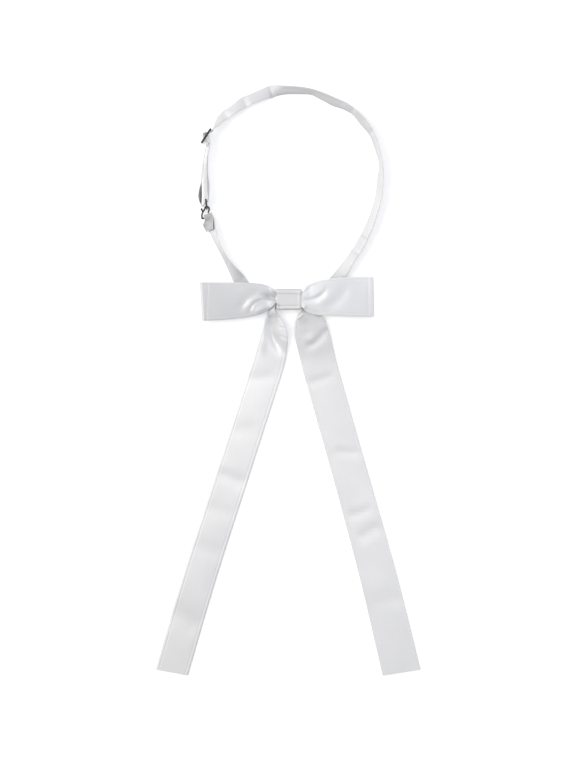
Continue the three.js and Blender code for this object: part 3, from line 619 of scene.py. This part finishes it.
def knot_grid(thickness):
    """The middle of the band round the knot, a rounded rectangle seen from the end."""
    CORNER_STEPS = 14
    FLAT_STEPS = 26
    COLUMNS = 30
    PINCH_REACH = 1.0
    PINCH_IN = 0.02
    PINCH_DOWN = 0.05
    radius = KNOT_CORNER - KNOT_INSET
    centre_y = KNOT_HEIGHT / 2 - KNOT_CORNER
    low = KNOT_CORNER
    high = KNOT_DEPTH - KNOT_CORNER
    corners = [(centre_y, low, -90), (centre_y, high, 0), (-centre_y, high, 90), (-centre_y, low, 180)]
    bends = []
    for y, z, turn in corners:
        angles = np.radians(turn + 90 * np.arange(CORNER_STEPS + 1) / CORNER_STEPS)
        bends.append(np.stack([y + radius * np.cos(angles), z + radius * np.sin(angles)], axis=1))
    shares = np.arange(1, FLAT_STEPS)[:, None] / FLAT_STEPS
    outline = []
    for bend, following in zip(bends, bends[1:] + bends[:1]):
        outline.extend([bend, bend[-1] + (following[0] - bend[-1]) * shares])
    outline = np.concatenate(outline)
    end = np.array([[KNOT_WIDTH / 2]])
    places = inset_between(end, -end, thickness / MM / 2, across_places(COLUMNS))[0, :, 0]
    x, y = np.meshgrid(places, outline[:, 0])
    z = np.repeat(outline[:, 1:], len(places), axis=1)
    z = z + smoothstep((z - high) / radius) * fold_height(KNOT_FOLDS, x, y)
    # Both ends of the band are drawn in a little
    pinch = np.exp(-(((KNOT_WIDTH / 2 - np.abs(x)) / PINCH_REACH) ** 2))
    y = y * (1 - PINCH_IN * pinch)
    z = z - PINCH_DOWN * pinch * smoothstep((z - 3.0) / 4.0)
    return np.stack([x, y, z], axis=2) * MM


def beside_slider(rows):
    """Stations of the strap beside the slider."""
    x, y, heading = SLIDER_PLACE
    c, s = math.cos(math.radians(heading)), math.sin(math.radians(heading))
    return [
        {**ON_EDGE, "x": x + a * c + b * s, "y": y + a * s - b * c}
        for a, b in zip(rows["along"], rows["across"])
    ]


def wound(steps, angle):
    """Places of the strap wound on a bar, from beside it through an angle in degrees."""
    turns = [math.radians(angle * k / steps) for k in range(steps + 1)]
    return [(WOUND * math.sin(turn), WOUND * math.cos(turn)) for turn in turns]


def beside_hook(away, left, right, roll, rise, apart=0, aside=0):
    """A station of the strap beside the hook, apart from the layer that lies below and aside from it."""
    x, y, heading = HOOK_PLACE
    c, s = math.cos(math.radians(heading)), math.sin(math.radians(heading))
    lean = math.radians(roll)
    inwards = (right - left) / 2 + apart * math.sin(lean) - aside
    return {
        "x": x + away * c - inwards * s,
        "y": y + away * s + inwards * c,
        "rise": rise + apart * math.cos(lean),
        "width": left + right,
        "wide": (s * math.cos(lean), -c * math.cos(lean), math.sin(lean)),
    }


def route_stations(rows):
    """Stations of a stretch whose table gives its places in plan."""
    return [dict(zip(rows, values)) for values in zip(*rows.values())]


def strap_stations():
    """The strap's stations from its end sewn on the hook to its end sewn on the slider."""
    hook_rows = route_stations(HOOK_END)
    below = HOOK_Z - CAD_CLOTH / 2
    on_bar = [
        beside_hook(-past, **ON_HOOK_BAR, roll=0, rise=below + height) for past, height in wound(6, 180)
    ]
    on_slider = table(SLIDER_COLUMNS, *wound(8, 240)[1:])
    bare = [
        *[beside_hook(**row) for row in hook_rows][::-1],
        *on_bar,
        *[beside_hook(**{**row, "apart": 0, "aside": 0}) for row in hook_rows],
        *route_stations(NECK_ROUTE),
        *beside_slider(THREADED),
        *route_stations(DOUBLED),
        *beside_slider(RETURN_END),
        *beside_slider(on_slider),
        *beside_slider(SEWN_FLAP),
    ]
    # Where no direction across the strap is given, it is square to the strap's run and leans by its roll
    for i, station in enumerate(bare):
        station.setdefault("width", STRAP_WIDTH)
        if "roll" in station and "wide" not in station:
            ahead = bare[min(i + 1, len(bare) - 1)]
            behind = bare[i - 1]
            lean = math.radians(station["roll"])
            step_x = ahead["x"] - behind["x"]
            step_y = ahead["y"] - behind["y"]
            run = math.hypot(step_x, step_y)
            station["wide"] = (math.cos(lean) * step_y / run, -math.cos(lean) * step_x / run, math.sin(lean))
    names = "x y rise width wide_x wide_y wide_z"
    return table(names, *[(s["x"], s["y"], s["rise"], s["width"], *s["wide"]) for s in bare])


def strap_grid(thickness):
    """The middle of the strap in one piece, a row of points across it at short steps along its stations."""
    STEP = 0.6
    COLUMNS = 22
    LEAST_GAP = 0.1
    SOFTENING = 0.1
    FITTINGS = (-66.0, 100.0)
    FITTINGS_REACH = 43.0
    FITTINGS_FADE = 12.0
    TIE_REACH = 25.0
    TIE_FADE = 14.0
    BOWED = 0.75
    BOWED_MORE = 0.3
    # Places where the face swells or sinks: the middle in plan, its reach and its height
    BULGES = ((-46.0, 24.0, 13.0, 0.1), (-62.5, 59.0, 4.5, -1.2))
    stations = strap_stations()
    stretches = np.sqrt(sum(np.diff(stations[name]) ** 2 for name in ("x", "y", "rise")))
    at = [0.0]
    for i, stretch in enumerate(stretches):
        steps = max(2, math.ceil(stretch / STEP))
        at.extend(i + (k + 1) / steps for k in range(steps))
    at = np.array(at)
    wide = unit(np.stack([column(stations, name, at) for name in ("wide_x", "wide_y", "wide_z")], axis=1))
    half_width = column(stations, "width", at) / 2
    # The middle stands above the lowest corner of the leaning section, softened where the lean changes side
    above = np.hypot(half_width * wide[:, 2], SOFTENING) + CAD_CLOTH / 2 * np.hypot(wide[:, 0], wide[:, 1])
    x, y, rise = (column(stations, name, at) for name in ("x", "y", "rise"))
    middle = np.stack([x, y, rise + above], axis=1)
    reach_out = wide * half_width[:, None]
    places = across_places(COLUMNS)
    grid = inset_between(middle + reach_out, middle - reach_out, thickness / MM / 2, places)

    # The free stretch round the neck is bowed across its width, a little more and less along its length, and
    # flat where it meets the hardware and the tied bow
    face = unit(np.cross(np.gradient(middle, axis=0), wide))
    face *= np.where(face[:, 2:] < 0, -1, 1)
    from_fittings = np.hypot(x - FITTINGS[0], y - FITTINGS[1]) - FITTINGS_REACH
    free = smoothstep(from_fittings / FITTINGS_FADE) * smoothstep((y - TIE_REACH) / TIE_FADE)
    length = np.cumsum(np.linalg.norm(np.diff(middle, axis=0, prepend=middle[:1]), axis=1))
    bow = free * (BOWED + BOWED_MORE * np.sin(length / 9.0) * np.sin(length / 23.0))
    for bulge_x, bulge_y, reach, height in BULGES:
        bow += height * np.exp(-(((x - bulge_x) ** 2 + (y - bulge_y) ** 2) / reach**2))
    grid += face[:, None] * (bow[:, None] * (1 - (2 * places - 1) ** 2))[..., None]
    grid[..., 2] += fold_height(STRAP_KINKS, grid[..., 0], grid[..., 1])
    grid[..., 2] = np.maximum(grid[..., 2], thickness / MM / 2 + LEAST_GAP)
    return grid * MM


def rounded_outline(left, right, low, high, radius):
    """Points of a rectangle with round corners, counter-clockwise."""
    CORNER_STEPS = 6
    centres = (
        (right - radius, low + radius),
        (right - radius, high - radius),
        (left + radius, high - radius),
        (left + radius, low + radius),
    )
    points = []
    for quarter, (x, y) in enumerate(centres):
        for k in range(CORNER_STEPS + 1):
            angle = math.pi / 2 * (quarter - 1 + k / CORNER_STEPS)
            points.append((x + radius * math.cos(angle), y + radius * math.sin(angle)))
    return points


def metal_frame(name, place, length, bars, material):
    """A flat metal frame standing on edge, with rounded edges and a window between each pair of cross bars,
    whose places along its length are given."""
    CORNER = 1.1
    WINDOW_CORNER = 0.5
    EDGE = 0.4
    high = HARDWARE_HEIGHT / 2
    outlines = [rounded_outline(-length / 2, length / 2, -high, high, CORNER)]
    for left, right in zip(bars, bars[1:]):
        window = (left + METAL / 2, right - METAL / 2, METAL - high, high - METAL)
        outlines.append(rounded_outline(*window, WINDOW_CORNER))
    shape = bmesh.new()
    edges = []
    for outline in outlines:
        corners = [shape.verts.new((x * MM, y * MM, -METAL / 2 * MM)) for x, y in outline]
        edges.extend(shape.edges.new((corners[k - 1], corners[k])) for k in range(len(corners)))
    bmesh.ops.triangle_fill(shape, use_beauty=True, use_dissolve=False, edges=edges)
    walls = bmesh.ops.extrude_face_region(shape, geom=shape.faces[:])
    raised = [part for part in walls["geom"] if isinstance(part, bmesh.types.BMVert)]
    bmesh.ops.translate(shape, verts=raised, vec=(0, 0, METAL * MM))
    bmesh.ops.recalc_face_normals(shape, faces=shape.faces[:])
    for face in shape.faces:
        face.smooth = True
    x, y, heading = place
    turned = Matrix.Rotation(math.radians(heading), 4, "Z") @ Matrix.Rotation(math.pi / 2, 4, "X")
    shape.transform(Matrix.Translation((x * MM, y * MM, high * MM)) @ turned)
    mesh = bpy.data.meshes.new(name)
    shape.to_mesh(mesh)
    shape.free()
    made = make_object(name, mesh, material)
    rounding = made.modifiers.new("rounded edges", "BEVEL")
    rounding.width = EDGE * MM
    rounding.segments = 4
    rounding.limit_method = "ANGLE"
    rounding.angle_limit = math.radians(40)
    rounding.harden_normals = True
    return made


def swept_tube(path, radius, sides, upwards):
    """Vertices and faces of a round wire along a path in metres, with round ends."""
    END_STEPS = 4
    along = unit(np.gradient(path, axis=0))
    side = unit(np.cross(along, upwards))
    over = np.cross(side, along)
    turns = 2 * math.pi * np.arange(sides) / sides
    circle = np.cos(turns)[:, None, None] * side + np.sin(turns)[:, None, None] * over
    rings = [path[i] + radius * circle[:, i] for i in range(len(path))]
    for end, step in ((0, -1), (-1, 1)):
        for k in range(1, END_STEPS):
            angle = math.pi / 2 * k / END_STEPS
            centre = path[end] + step * radius * math.sin(angle) * along[end]
            ring = centre + radius * math.cos(angle) * circle[:, end]
            rings = rings + [ring] if step > 0 else [ring] + rings
    tips = [path[0] - radius * along[0], path[-1] + radius * along[-1]]
    faces = []
    for i in range(len(rings) - 1):
        here = i * sides
        there = here + sides
        for k in range(sides):
            following = (k + 1) % sides
            faces.append((here + k, there + k, there + following, here + following))
    count = len(rings) * sides
    last = count - sides
    faces.extend((k, (k + 1) % sides, count) for k in range(sides))
    faces.extend((last + (k + 1) % sides, last + k, count + 1) for k in range(sides))
    return np.concatenate([*rings, tips]), faces


def tube_object(name, tubes, material):
    """One object made of several swept tubes."""
    vertices = []
    faces = []
    for places, corners in tubes:
        faces.extend(tuple(len(vertices) + k for k in face) for face in corners)
        vertices.extend(places.tolist())
    mesh = bpy.data.meshes.new(name)
    mesh.from_pydata(vertices, [], faces)
    mesh.shade_smooth()
    return make_object(name, mesh, material)


def hook_wire(points):
    """A swept wire through plan points at the hook's height."""
    STEPS = 8
    SIDES = 20
    rows = table("x y", *points)
    at = np.linspace(0, len(points) - 1, STEPS * (len(points) - 1) + 1)
    path = np.stack([column(rows, "x", at), column(rows, "y", at), np.full_like(at, HOOK_Z)], axis=1)
    return swept_tube(path * MM, METAL / 2 * MM, SIDES, (0, 0, 1))


def stitches(grid, row, count, thickness):
    """A row of short stitches across the strap, at a row of its grid."""
    THREAD = 0.13 * MM
    LENGTH = 0.9 * MM
    SLANT = 0.25 * MM
    SIDES = 8
    POINTS = 9
    across = grid[row, -1] - grid[row, 0]
    width = np.linalg.norm(across)
    along = unit(grid[row + 1] - grid[row - 1]).mean(axis=0)
    face = unit(np.cross(along, across))
    face = face if face[2] > 0 else -face
    tubes = []
    for k in range(count):
        middle = grid[row, 0] + across * (k + 0.7) / (count + 0.4) + face * thickness / 2
        t = np.linspace(-1, 1, POINTS)[:, None]
        # Sewn stitches differ a little in length, and their ends dip into the cloth
        half = along * LENGTH * (0.5 + 0.06 * math.sin(5.3 * k)) + across / width * SLANT
        path = middle + t * half + face * THREAD * (1.1 - 2.2 * t**4)
        tubes.append(swept_tube(path, THREAD, SIDES, face))
    return tubes


def add_node(nodes, kind, values=None, links=None):
    """A shader node of a kind. A value whose key is an input's name or number is that input's constant, and
    the others are the node's own settings. Links give the outputs that feed its inputs."""
    node = nodes.nodes.new(kind)
    for name, value in (values or {}).items():
        if isinstance(name, int) or name in node.inputs:
            node.inputs[name].default_value = value
        else:
            setattr(node, name, value)
    for name, source in (links or {}).items():
        nodes.links.new(source, node.inputs[name])
    return node


def new_material(name, values):
    """A material with its output and its shader, whose constants are given."""
    material = bpy.data.materials.new(name)
    material.use_nodes = True
    nodes = material.node_tree
    nodes.nodes.clear()
    output = nodes.nodes.new("ShaderNodeOutputMaterial")
    shader = add_node(nodes, "ShaderNodeBsdfPrincipled", values)
    nodes.links.new(shader.outputs["BSDF"], output.inputs["Surface"])
    return material, nodes, shader


def woven_satin(name, colour, painted_shade, far_painted_shade, sheen=0.4, reverse_shade=1.0):
    """Polyester satin woven with long floats: the warp threads run along the ribbon, so its sheen spreads
    across it in soft streaks and flat cloth stays pale. Each piece's colour is scaled by a painted shade,
    lighter or darker for the light that piece catches, and a long piece drifts from one painted shade
    to another as the light falls off along it, with soft clouds of painted sheen at random places. The
    reverse side can be painted darker: the duller back of the satin, and painted shade where the strap's
    folded end and slack turn show it."""
    # Length over which a long piece's painted shade drifts from its first level to its last
    PAINTED_DRIFT_LENGTH = 320 * MM
    CLOUD = 30 * MM
    # Real threads lie 0.1 mm apart, too fine to show, so the streaks are drawn 0.5 mm apart and 12 mm long.
    STREAK_GAP = 0.5 * MM
    STREAK_LENGTH = 12 * MM
    material, nodes, shader = new_material(
        name,
        {
            "Metallic": sheen,
            "Roughness": 0.55,
            "Anisotropic": 0.8,
            "Specular IOR Level": 0.5,
            "IOR": 1.55,
        },
    )
    place = add_node(nodes, "ShaderNodeUVMap", {"uv_map": "thread"})
    tangent = add_node(nodes, "ShaderNodeTangent", {"direction_type": "UV_MAP", "uv_map": "thread"})
    nodes.links.new(tangent.outputs["Tangent"], shader.inputs["Tangent"])
    streaks_at = add_node(
        nodes,
        "ShaderNodeMapping",
        {"Scale": (1 / STREAK_GAP, 1 / STREAK_LENGTH, 1)},
        {"Vector": place.outputs["UV"]},
    )
    streaks = add_node(
        nodes,
        "ShaderNodeTexNoise",
        {"Scale": 1.0, "Detail": 3.0},
        {"Vector": streaks_at.outputs["Vector"]},
    )
    tone = add_node(
        nodes,
        "ShaderNodeMix",
        {"data_type": "RGBA", 6: (*[c * 0.97 for c in colour], 1), 7: (*[c * 1.02 for c in colour], 1)},
        {0: streaks.outputs["Fac"]},
    )
    along = add_node(nodes, "ShaderNodeSeparateXYZ", links={"Vector": place.outputs["UV"]})
    # Painted shade along the cloth: the colour drifts from one level to another, for the light falling off
    # along a tail
    painted_drift = add_node(
        nodes,
        "ShaderNodeMapRange",
        {"From Max": PAINTED_DRIFT_LENGTH, "To Min": painted_shade, "To Max": far_painted_shade},
        {"Value": along.outputs["Y"]},
    )
    # Soft clouds of painted sheen, lighter and darker at random places, for light caught by slightly uneven
    # cloth
    clouds = add_node(
        nodes,
        "ShaderNodeTexNoise",
        {"Scale": 1 / CLOUD, "Detail": 1.0},
        {"Vector": place.outputs["UV"]},
    )
    painted_cloud_sheen = add_node(
        nodes,
        "ShaderNodeMapRange",
        {"From Min": 0.3, "From Max": 0.7, "To Min": 0.975, "To Max": 1.025},
        {"Value": clouds.outputs["Fac"]},
    )
    level = add_node(
        nodes,
        "ShaderNodeMath",
        {"operation": "MULTIPLY"},
        {0: painted_drift.outputs["Result"], 1: painted_cloud_sheen.outputs["Result"]},
    )
    # The reverse side is painted darker: partly the duller back of the satin, partly painted shade on the
    # folded end
    reverse = add_node(nodes, "ShaderNodeAttribute", {"attribute_name": "reverse"})
    side = add_node(
        nodes,
        "ShaderNodeMapRange",
        {"To Min": 1.0, "To Max": reverse_shade},
        {"Value": reverse.outputs["Fac"]},
    )
    sided = add_node(
        nodes,
        "ShaderNodeMath",
        {"operation": "MULTIPLY"},
        {0: level.outputs["Value"], 1: side.outputs["Result"]},
    )
    shaded = add_node(
        nodes,
        "ShaderNodeVectorMath",
        {"operation": "SCALE"},
        {0: tone.outputs[2], "Scale": sided.outputs["Value"]},
    )
    nodes.links.new(shaded.outputs["Vector"], shader.inputs["Base Color"])
    bump = add_node(
        nodes,
        "ShaderNodeBump",
        {"Strength": 0.12, "Distance": 0.05 * MM},
        {"Height": streaks.outputs["Fac"]},
    )
    nodes.links.new(bump.outputs["Normal"], shader.inputs["Normal"])
    return material


def black_enamel():
    """Zinc alloy dipped in black enamel: near black, with a soft gloss and a dipped coat's faint ripple."""
    RIPPLE = 1.5 * MM
    material, nodes, shader = new_material(
        "black_enamel",
        {
            "Base Color": (*linear("#141416"), 1),
            "Roughness": 0.35,
            "Coat Weight": 0.3,
            "Coat Roughness": 0.2,
        },
    )
    place = add_node(nodes, "ShaderNodeTexCoord")
    ripple = add_node(
        nodes,
        "ShaderNodeTexNoise",
        {"Scale": 1 / RIPPLE, "Detail": 2.0},
        {"Vector": place.outputs["Object"]},
    )
    bump = add_node(
        nodes,
        "ShaderNodeBump",
        {"Strength": 0.2, "Distance": 0.05 * MM},
        {"Height": ripple.outputs["Fac"]},
    )
    nodes.links.new(bump.outputs["Normal"], shader.inputs["Normal"])
    return material


def spun_thread():
    """Polyester sewing thread, spun from two plies: matt beside the satin, with the twist showing as fine
    slanted stripes."""
    # Real plies turn every 0.4 mm, too fine to show, so they are drawn every 0.8 mm. A wave texture repeats
    # about 3.15 times a unit.
    PLY_TURN = 0.8 * MM
    WAVES = 3.15
    material, nodes, shader = new_material("spun_thread", {"Roughness": 0.8, "Specular IOR Level": 0.3})
    place = add_node(nodes, "ShaderNodeTexCoord")
    twist = add_node(
        nodes,
        "ShaderNodeTexWave",
        {"Scale": 1 / PLY_TURN / WAVES, "Distortion": 1.0},
        {"Vector": place.outputs["Object"]},
    )
    tone = add_node(
        nodes,
        "ShaderNodeMix",
        {"data_type": "RGBA", 6: (*linear("#cfcfd2"), 1), 7: (*linear("#e6e6e8"), 1)},
        {0: twist.outputs["Fac"]},
    )
    nodes.links.new(tone.outputs[2], shader.inputs["Base Color"])
    bump = add_node(
        nodes,
        "ShaderNodeBump",
        {"Strength": 0.5, "Distance": 0.03 * MM},
        {"Height": twist.outputs["Fac"]},
    )
    nodes.links.new(bump.outputs["Normal"], shader.inputs["Normal"])
    return material


def finish_piece(piece, node):
    """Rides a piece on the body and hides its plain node."""
    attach(piece, "root")
    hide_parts(node)


class RibbonSettings(bpy.types.PropertyGroup):
    """Thickness and colour of the cloth"""

    thickness: FloatProperty(
        name="Ribbon thickness",
        description="Thickness of the loops, the tails and the knot's wrap",
        default=0.8 * MM,
        unit="LENGTH",
    )
    strap_thickness: FloatProperty(
        name="Strap thickness",
        description="Thickness of the neck strap",
        default=0.7 * MM,
        unit="LENGTH",
    )
    colour: FloatVectorProperty(
        name="Satin colour",
        description="Colour of the woven satin",
        default=linear("#dddedf"),
        subtype="COLOR",
        min=0.0,
        max=1.0,
    )


class StageSettings(bpy.types.PropertyGroup):
    """Camera height and the strength of the lights"""

    camera_height: FloatProperty(
        name="Camera height",
        description="Height of the camera above the table",
        default=5.0,
        unit="LENGTH",
    )
    dome: FloatProperty(
        name="Dome light",
        description="Brightness of the white tent round the table",
        default=0.42,
    )
    key: FloatProperty(
        name="Key light",
        description="Power of the softbox at the upper left in watts",
        default=33.0,
    )
    fill: FloatProperty(
        name="Fill light",
        description="Power of the softbox at the right in watts",
        default=9.0,
    )
    top: FloatProperty(
        name="Top light",
        description="Power of the softbox overhead in watts",
        default=1.5,
    )


class BOWTIE_OT_add_loops(bpy.types.Operator):
    """Adds the two bow loops"""

    bl_idname = "bow_tie.add_loops"
    bl_label = "Add loops"

    def execute(self, context):
        ribbon = context.scene.bow_tie_ribbon
        # Each loop's last number is its painted shade: the right loop is painted lighter than the left, for
        # its light
        for hand, side, sections, front, back, skew, flat, painted_shade in (
            ("left", -1, LEFT_LOOP, LEFT_LOOP_FOLDS, LEFT_BACK_FOLDS, LEFT_SKEW, 0.031, 1.08),
            ("right", 1, RIGHT_LOOP, RIGHT_LOOP_FOLDS, RIGHT_BACK_FOLDS, RIGHT_SKEW, 0.032, 1.25),
        ):
            name = f"satin_loop_{hand}"
            satin = woven_satin(f"woven_{name}", ribbon.colour, painted_shade, painted_shade)
            grid = loop_grid(side, sections, front, back, skew, ribbon.thickness)
            mesh = cloth_mesh(name, grid, seamed(grid, ribbon.thickness, **RIBBON_SEAM))
            piece = make_object(name, mesh, satin)
            finish_piece(piece, f"bow_loop_{hand}")
        return {"FINISHED"}


class BOWTIE_OT_add_tails(bpy.types.Operator):
    """Adds the two long tails"""

    bl_idname = "bow_tie.add_tails"
    bl_label = "Add tails"

    def execute(self, context):
        ribbon = context.scene.bow_tie_ribbon
        # The last pair is each tail's painted shade at the knot and at its end, for the light along it
        for hand, sections, folds, flat, painted_shades in (
            ("left", LEFT_TAIL, LEFT_TAIL_FOLDS, (0.0275, 0.320), (1.11, 0.95)),
            ("right", RIGHT_TAIL, RIGHT_TAIL_FOLDS, (0.0305, 0.320), (0.97, 1.09)),
        ):
            name = f"satin_tail_{hand}"
            satin = woven_satin(f"woven_{name}", ribbon.colour, *painted_shades)
            grid = tail_grid(sections, folds, ribbon.thickness)
            mesh = cloth_mesh(name, grid, seamed(grid, ribbon.thickness, **RIBBON_SEAM))
            piece = make_object(name, mesh, satin)
            finish_piece(piece, f"tail_{hand}")
        return {"FINISHED"}


class BOWTIE_OT_add_knot(bpy.types.Operator):
    """Adds the wrap round the knot"""

    bl_idname = "bow_tie.add_knot"
    bl_label = "Add knot"

    def execute(self, context):
        ribbon = context.scene.bow_tie_ribbon
        # The knot's wrap is painted a shade darker, for the light it catches
        satin = woven_satin("woven_satin_knot", ribbon.colour, 0.87, 0.87, sheen=0.35)
        name = "satin_knot_wrap"
        mesh = cloth_mesh(name, knot_grid(ribbon.thickness), ribbon.thickness, ring=True)
        piece = make_object(name, mesh, satin)
        finish_piece(piece, "knot_wrap")
        return {"FINISHED"}


class BOWTIE_OT_add_strap(bpy.types.Operator):
    """Adds the neck strap"""

    bl_idname = "bow_tie.add_strap"
    bl_label = "Add neck strap"

    def execute(self, context):
        ribbon = context.scene.bow_tie_ribbon
        # The strap is painted a shade darker, and its reverse side darker still: the duller back and painted
        # shade
        satin = woven_satin("woven_satin_strap", ribbon.colour, 0.95, 0.95, sheen=0.12, reverse_shade=0.7)
        name = "satin_neck_strap"
        thickness = ribbon.strap_thickness
        grid = strap_grid(thickness)
        mesh = cloth_mesh(name, grid, seamed(grid, thickness, **STRAP_SEAM))
        piece = make_object(name, mesh, satin)
        finish_piece(piece, "neck_strap")
        return {"FINISHED"}


class BOWTIE_OT_add_stitches(bpy.types.Operator):
    """Adds the stitches that hold the strap's two folded ends"""

    bl_idname = "bow_tie.add_stitches"
    bl_label = "Add stitches"

    def execute(self, context):
        thread = spun_thread()
        thickness = context.scene.bow_tie_ribbon.strap_thickness
        grid = strap_grid(thickness)
        for name, row in (("thread_hook_tack", 4), ("thread_slider_tack", len(grid) - 5)):
            piece = tube_object(name, stitches(grid, row, 7, thickness), thread)
            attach(piece, "root")
        return {"FINISHED"}


class BOWTIE_OT_add_hardware(bpy.types.Operator):
    """Adds the slider, the ring and the hook"""

    bl_idname = "bow_tie.add_hardware"
    bl_label = "Add hardware"

    def execute(self, context):
        enamel = black_enamel()
        for name, node, place, length, bars in (
            ("enamel_slider", "strap_slider", SLIDER_PLACE, SLIDER_LENGTH, 3),
            ("enamel_ring", "strap_ring", RING_PLACE, RING_LENGTH, 2),
        ):
            reach = (length - METAL) / 2
            places = [reach * (2 * k / (bars - 1) - 1) for k in range(bars)]
            piece = metal_frame(name, place, length, places, enamel)
            finish_piece(piece, node)
        hook = tube_object("enamel_hook", [hook_wire(HOOK_WIRE), hook_wire(HOOK_SPUR)], enamel)
        finish_piece(hook, "strap_hook")
        return {"FINISHED"}


def area_light(name, place, aim, size, watts, colour):
    """A square softbox at a place in metres, turned towards another."""
    light = bpy.data.lights.new(name, "AREA")
    light.shape = "SQUARE"
    light.size = size
    light.energy = watts
    light.color = colour
    made = bpy.data.objects.new(name, light)
    made.location = place
    made.rotation_euler = (Vector(aim) - Vector(place)).to_track_quat("-Z", "Y").to_euler()
    made.visible_camera = False
    bpy.context.scene.collection.objects.link(made)
    return made


class BOWTIE_OT_add_stage(bpy.types.Operator):
    """Adds the table, the lights and the camera"""

    bl_idname = "bow_tie.add_stage"
    bl_label = "Add stage"

    def execute(self, context):
        stage = context.scene.bow_tie_stage
        FLOOR_RADIUS = 30.0
        shape = bmesh.new()
        bmesh.ops.create_circle(shape, cap_ends=True, segments=64, radius=FLOOR_RADIUS)
        mesh = bpy.data.meshes.new("table")
        shape.to_mesh(mesh)
        shape.free()
        # White paper, smooth and matt. A pale glow that only the camera sees keeps its shadows soft.
        material, nodes, shader = new_material(
            "white_paper",
            {
                "Base Color": (*linear("#e8e8e8"), 1),
                "Roughness": 0.9,
                "Specular IOR Level": 0.1,
                "Emission Color": (1, 1, 1, 1),
            },
        )
        seen = add_node(nodes, "ShaderNodeLightPath")
        glow = add_node(
            nodes,
            "ShaderNodeMath",
            {"operation": "MULTIPLY", 1: 0.45},
            {0: seen.outputs["Is Camera Ray"]},
        )
        nodes.links.new(glow.outputs[0], shader.inputs["Emission Strength"])
        table_top = make_object("table", mesh, material)

        world = bpy.data.worlds.new("light_tent")
        world.use_nodes = True
        context.scene.world = world
        nodes = world.node_tree
        nodes.nodes.clear()
        output = nodes.nodes.new("ShaderNodeOutputWorld")
        background = add_node(nodes, "ShaderNodeBackground", {"Color": (*linear("#f7f9ff"), 1)})
        way = add_node(nodes, "ShaderNodeTexCoord")
        parts = add_node(nodes, "ShaderNodeSeparateXYZ", links={"Vector": way.outputs["Generated"]})
        level = add_node(
            nodes,
            "ShaderNodeMapRange",
            {"From Min": 0.15, "From Max": 0.4, "To Min": 1.15, "To Max": stage.dome},
            {"Value": parts.outputs["Z"]},
        )
        side = add_node(
            nodes,
            "ShaderNodeMapRange",
            {"From Min": -1.0, "From Max": 1.0, "To Min": 0.65, "To Max": 1.35},
            {"Value": parts.outputs["Y"]},
        )
        strength = add_node(
            nodes,
            "ShaderNodeMath",
            {"operation": "MULTIPLY"},
            {0: level.outputs["Result"], 1: side.outputs["Result"]},
        )
        nodes.links.new(strength.outputs[0], background.inputs["Strength"])
        nodes.links.new(background.outputs["Background"], output.inputs["Surface"])

        centre_x = (PHOTO_WIDTH / 2 - KNOT_PIXEL[0]) * MM_PER_PIXEL * MM
        centre_y = (KNOT_PIXEL[1] - PHOTO_HEIGHT / 2) * MM_PER_PIXEL * MM
        area_light("key_softbox", (-1.6, 0.3, 1.4), (0, -0.05, 0), 1.5, stage.key, linear("#fffaf4"))
        area_light("fill_softbox", (1.5, 0.35, 1.3), (0, -0.05, 0), 1.5, stage.fill, linear("#fcfcff"))
        area_light("top_softbox", (0.0, 0.1, 1.3), (0, -0.05, 0), 0.8, stage.top, linear("#fcfcff"))

        SENSOR = 36.0
        camera = bpy.data.cameras.new("camera")
        camera.sensor_width = SENSOR
        camera.lens = SENSOR * stage.camera_height / (PHOTO_HEIGHT * MM_PER_PIXEL * MM)
        camera.clip_end = 100
        made = bpy.data.objects.new("camera", camera)
        made.location = (centre_x, centre_y, stage.camera_height)
        context.scene.collection.objects.link(made)
        context.scene.camera = made
        context.scene.view_settings.view_transform = "Standard"
        return {"FINISHED"}


class BOWTIE_PT_pieces(bpy.types.Panel):
    """Lists the bow tie's pieces"""

    bl_label = "Pre-tied bow tie"
    bl_space_type = "VIEW_3D"
    bl_region_type = "UI"
    bl_category = "Bow Tie"

    def draw(self, context):
        for operator in OPERATORS:
            self.layout.operator(operator.bl_idname)
        for settings in (context.scene.bow_tie_ribbon, context.scene.bow_tie_stage):
            for name in settings.__annotations__:
                self.layout.prop(settings, name)


OPERATORS = (
    BOWTIE_OT_add_loops,
    BOWTIE_OT_add_tails,
    BOWTIE_OT_add_knot,
    BOWTIE_OT_add_strap,
    BOWTIE_OT_add_stitches,
    BOWTIE_OT_add_hardware,
    BOWTIE_OT_add_stage,
)
CLASSES = (RibbonSettings, StageSettings, *OPERATORS, BOWTIE_PT_pieces)


def register():
    for made in CLASSES:
        bpy.utils.register_class(made)
    bpy.types.Scene.bow_tie_ribbon = PointerProperty(type=RibbonSettings)
    bpy.types.Scene.bow_tie_stage = PointerProperty(type=StageSettings)


def unregister():
    del bpy.types.Scene.bow_tie_stage
    del bpy.types.Scene.bow_tie_ribbon
    for made in reversed(CLASSES):
        bpy.utils.unregister_class(made)


def main():
    register()
    bpy.ops.bow_tie.add_loops()
    bpy.ops.bow_tie.add_tails()
    bpy.ops.bow_tie.add_knot()
    bpy.ops.bow_tie.add_strap()
    bpy.ops.bow_tie.add_stitches()
    bpy.ops.bow_tie.add_hardware()
    bpy.ops.bow_tie.add_stage()


if __name__ == "__main__":
    main()
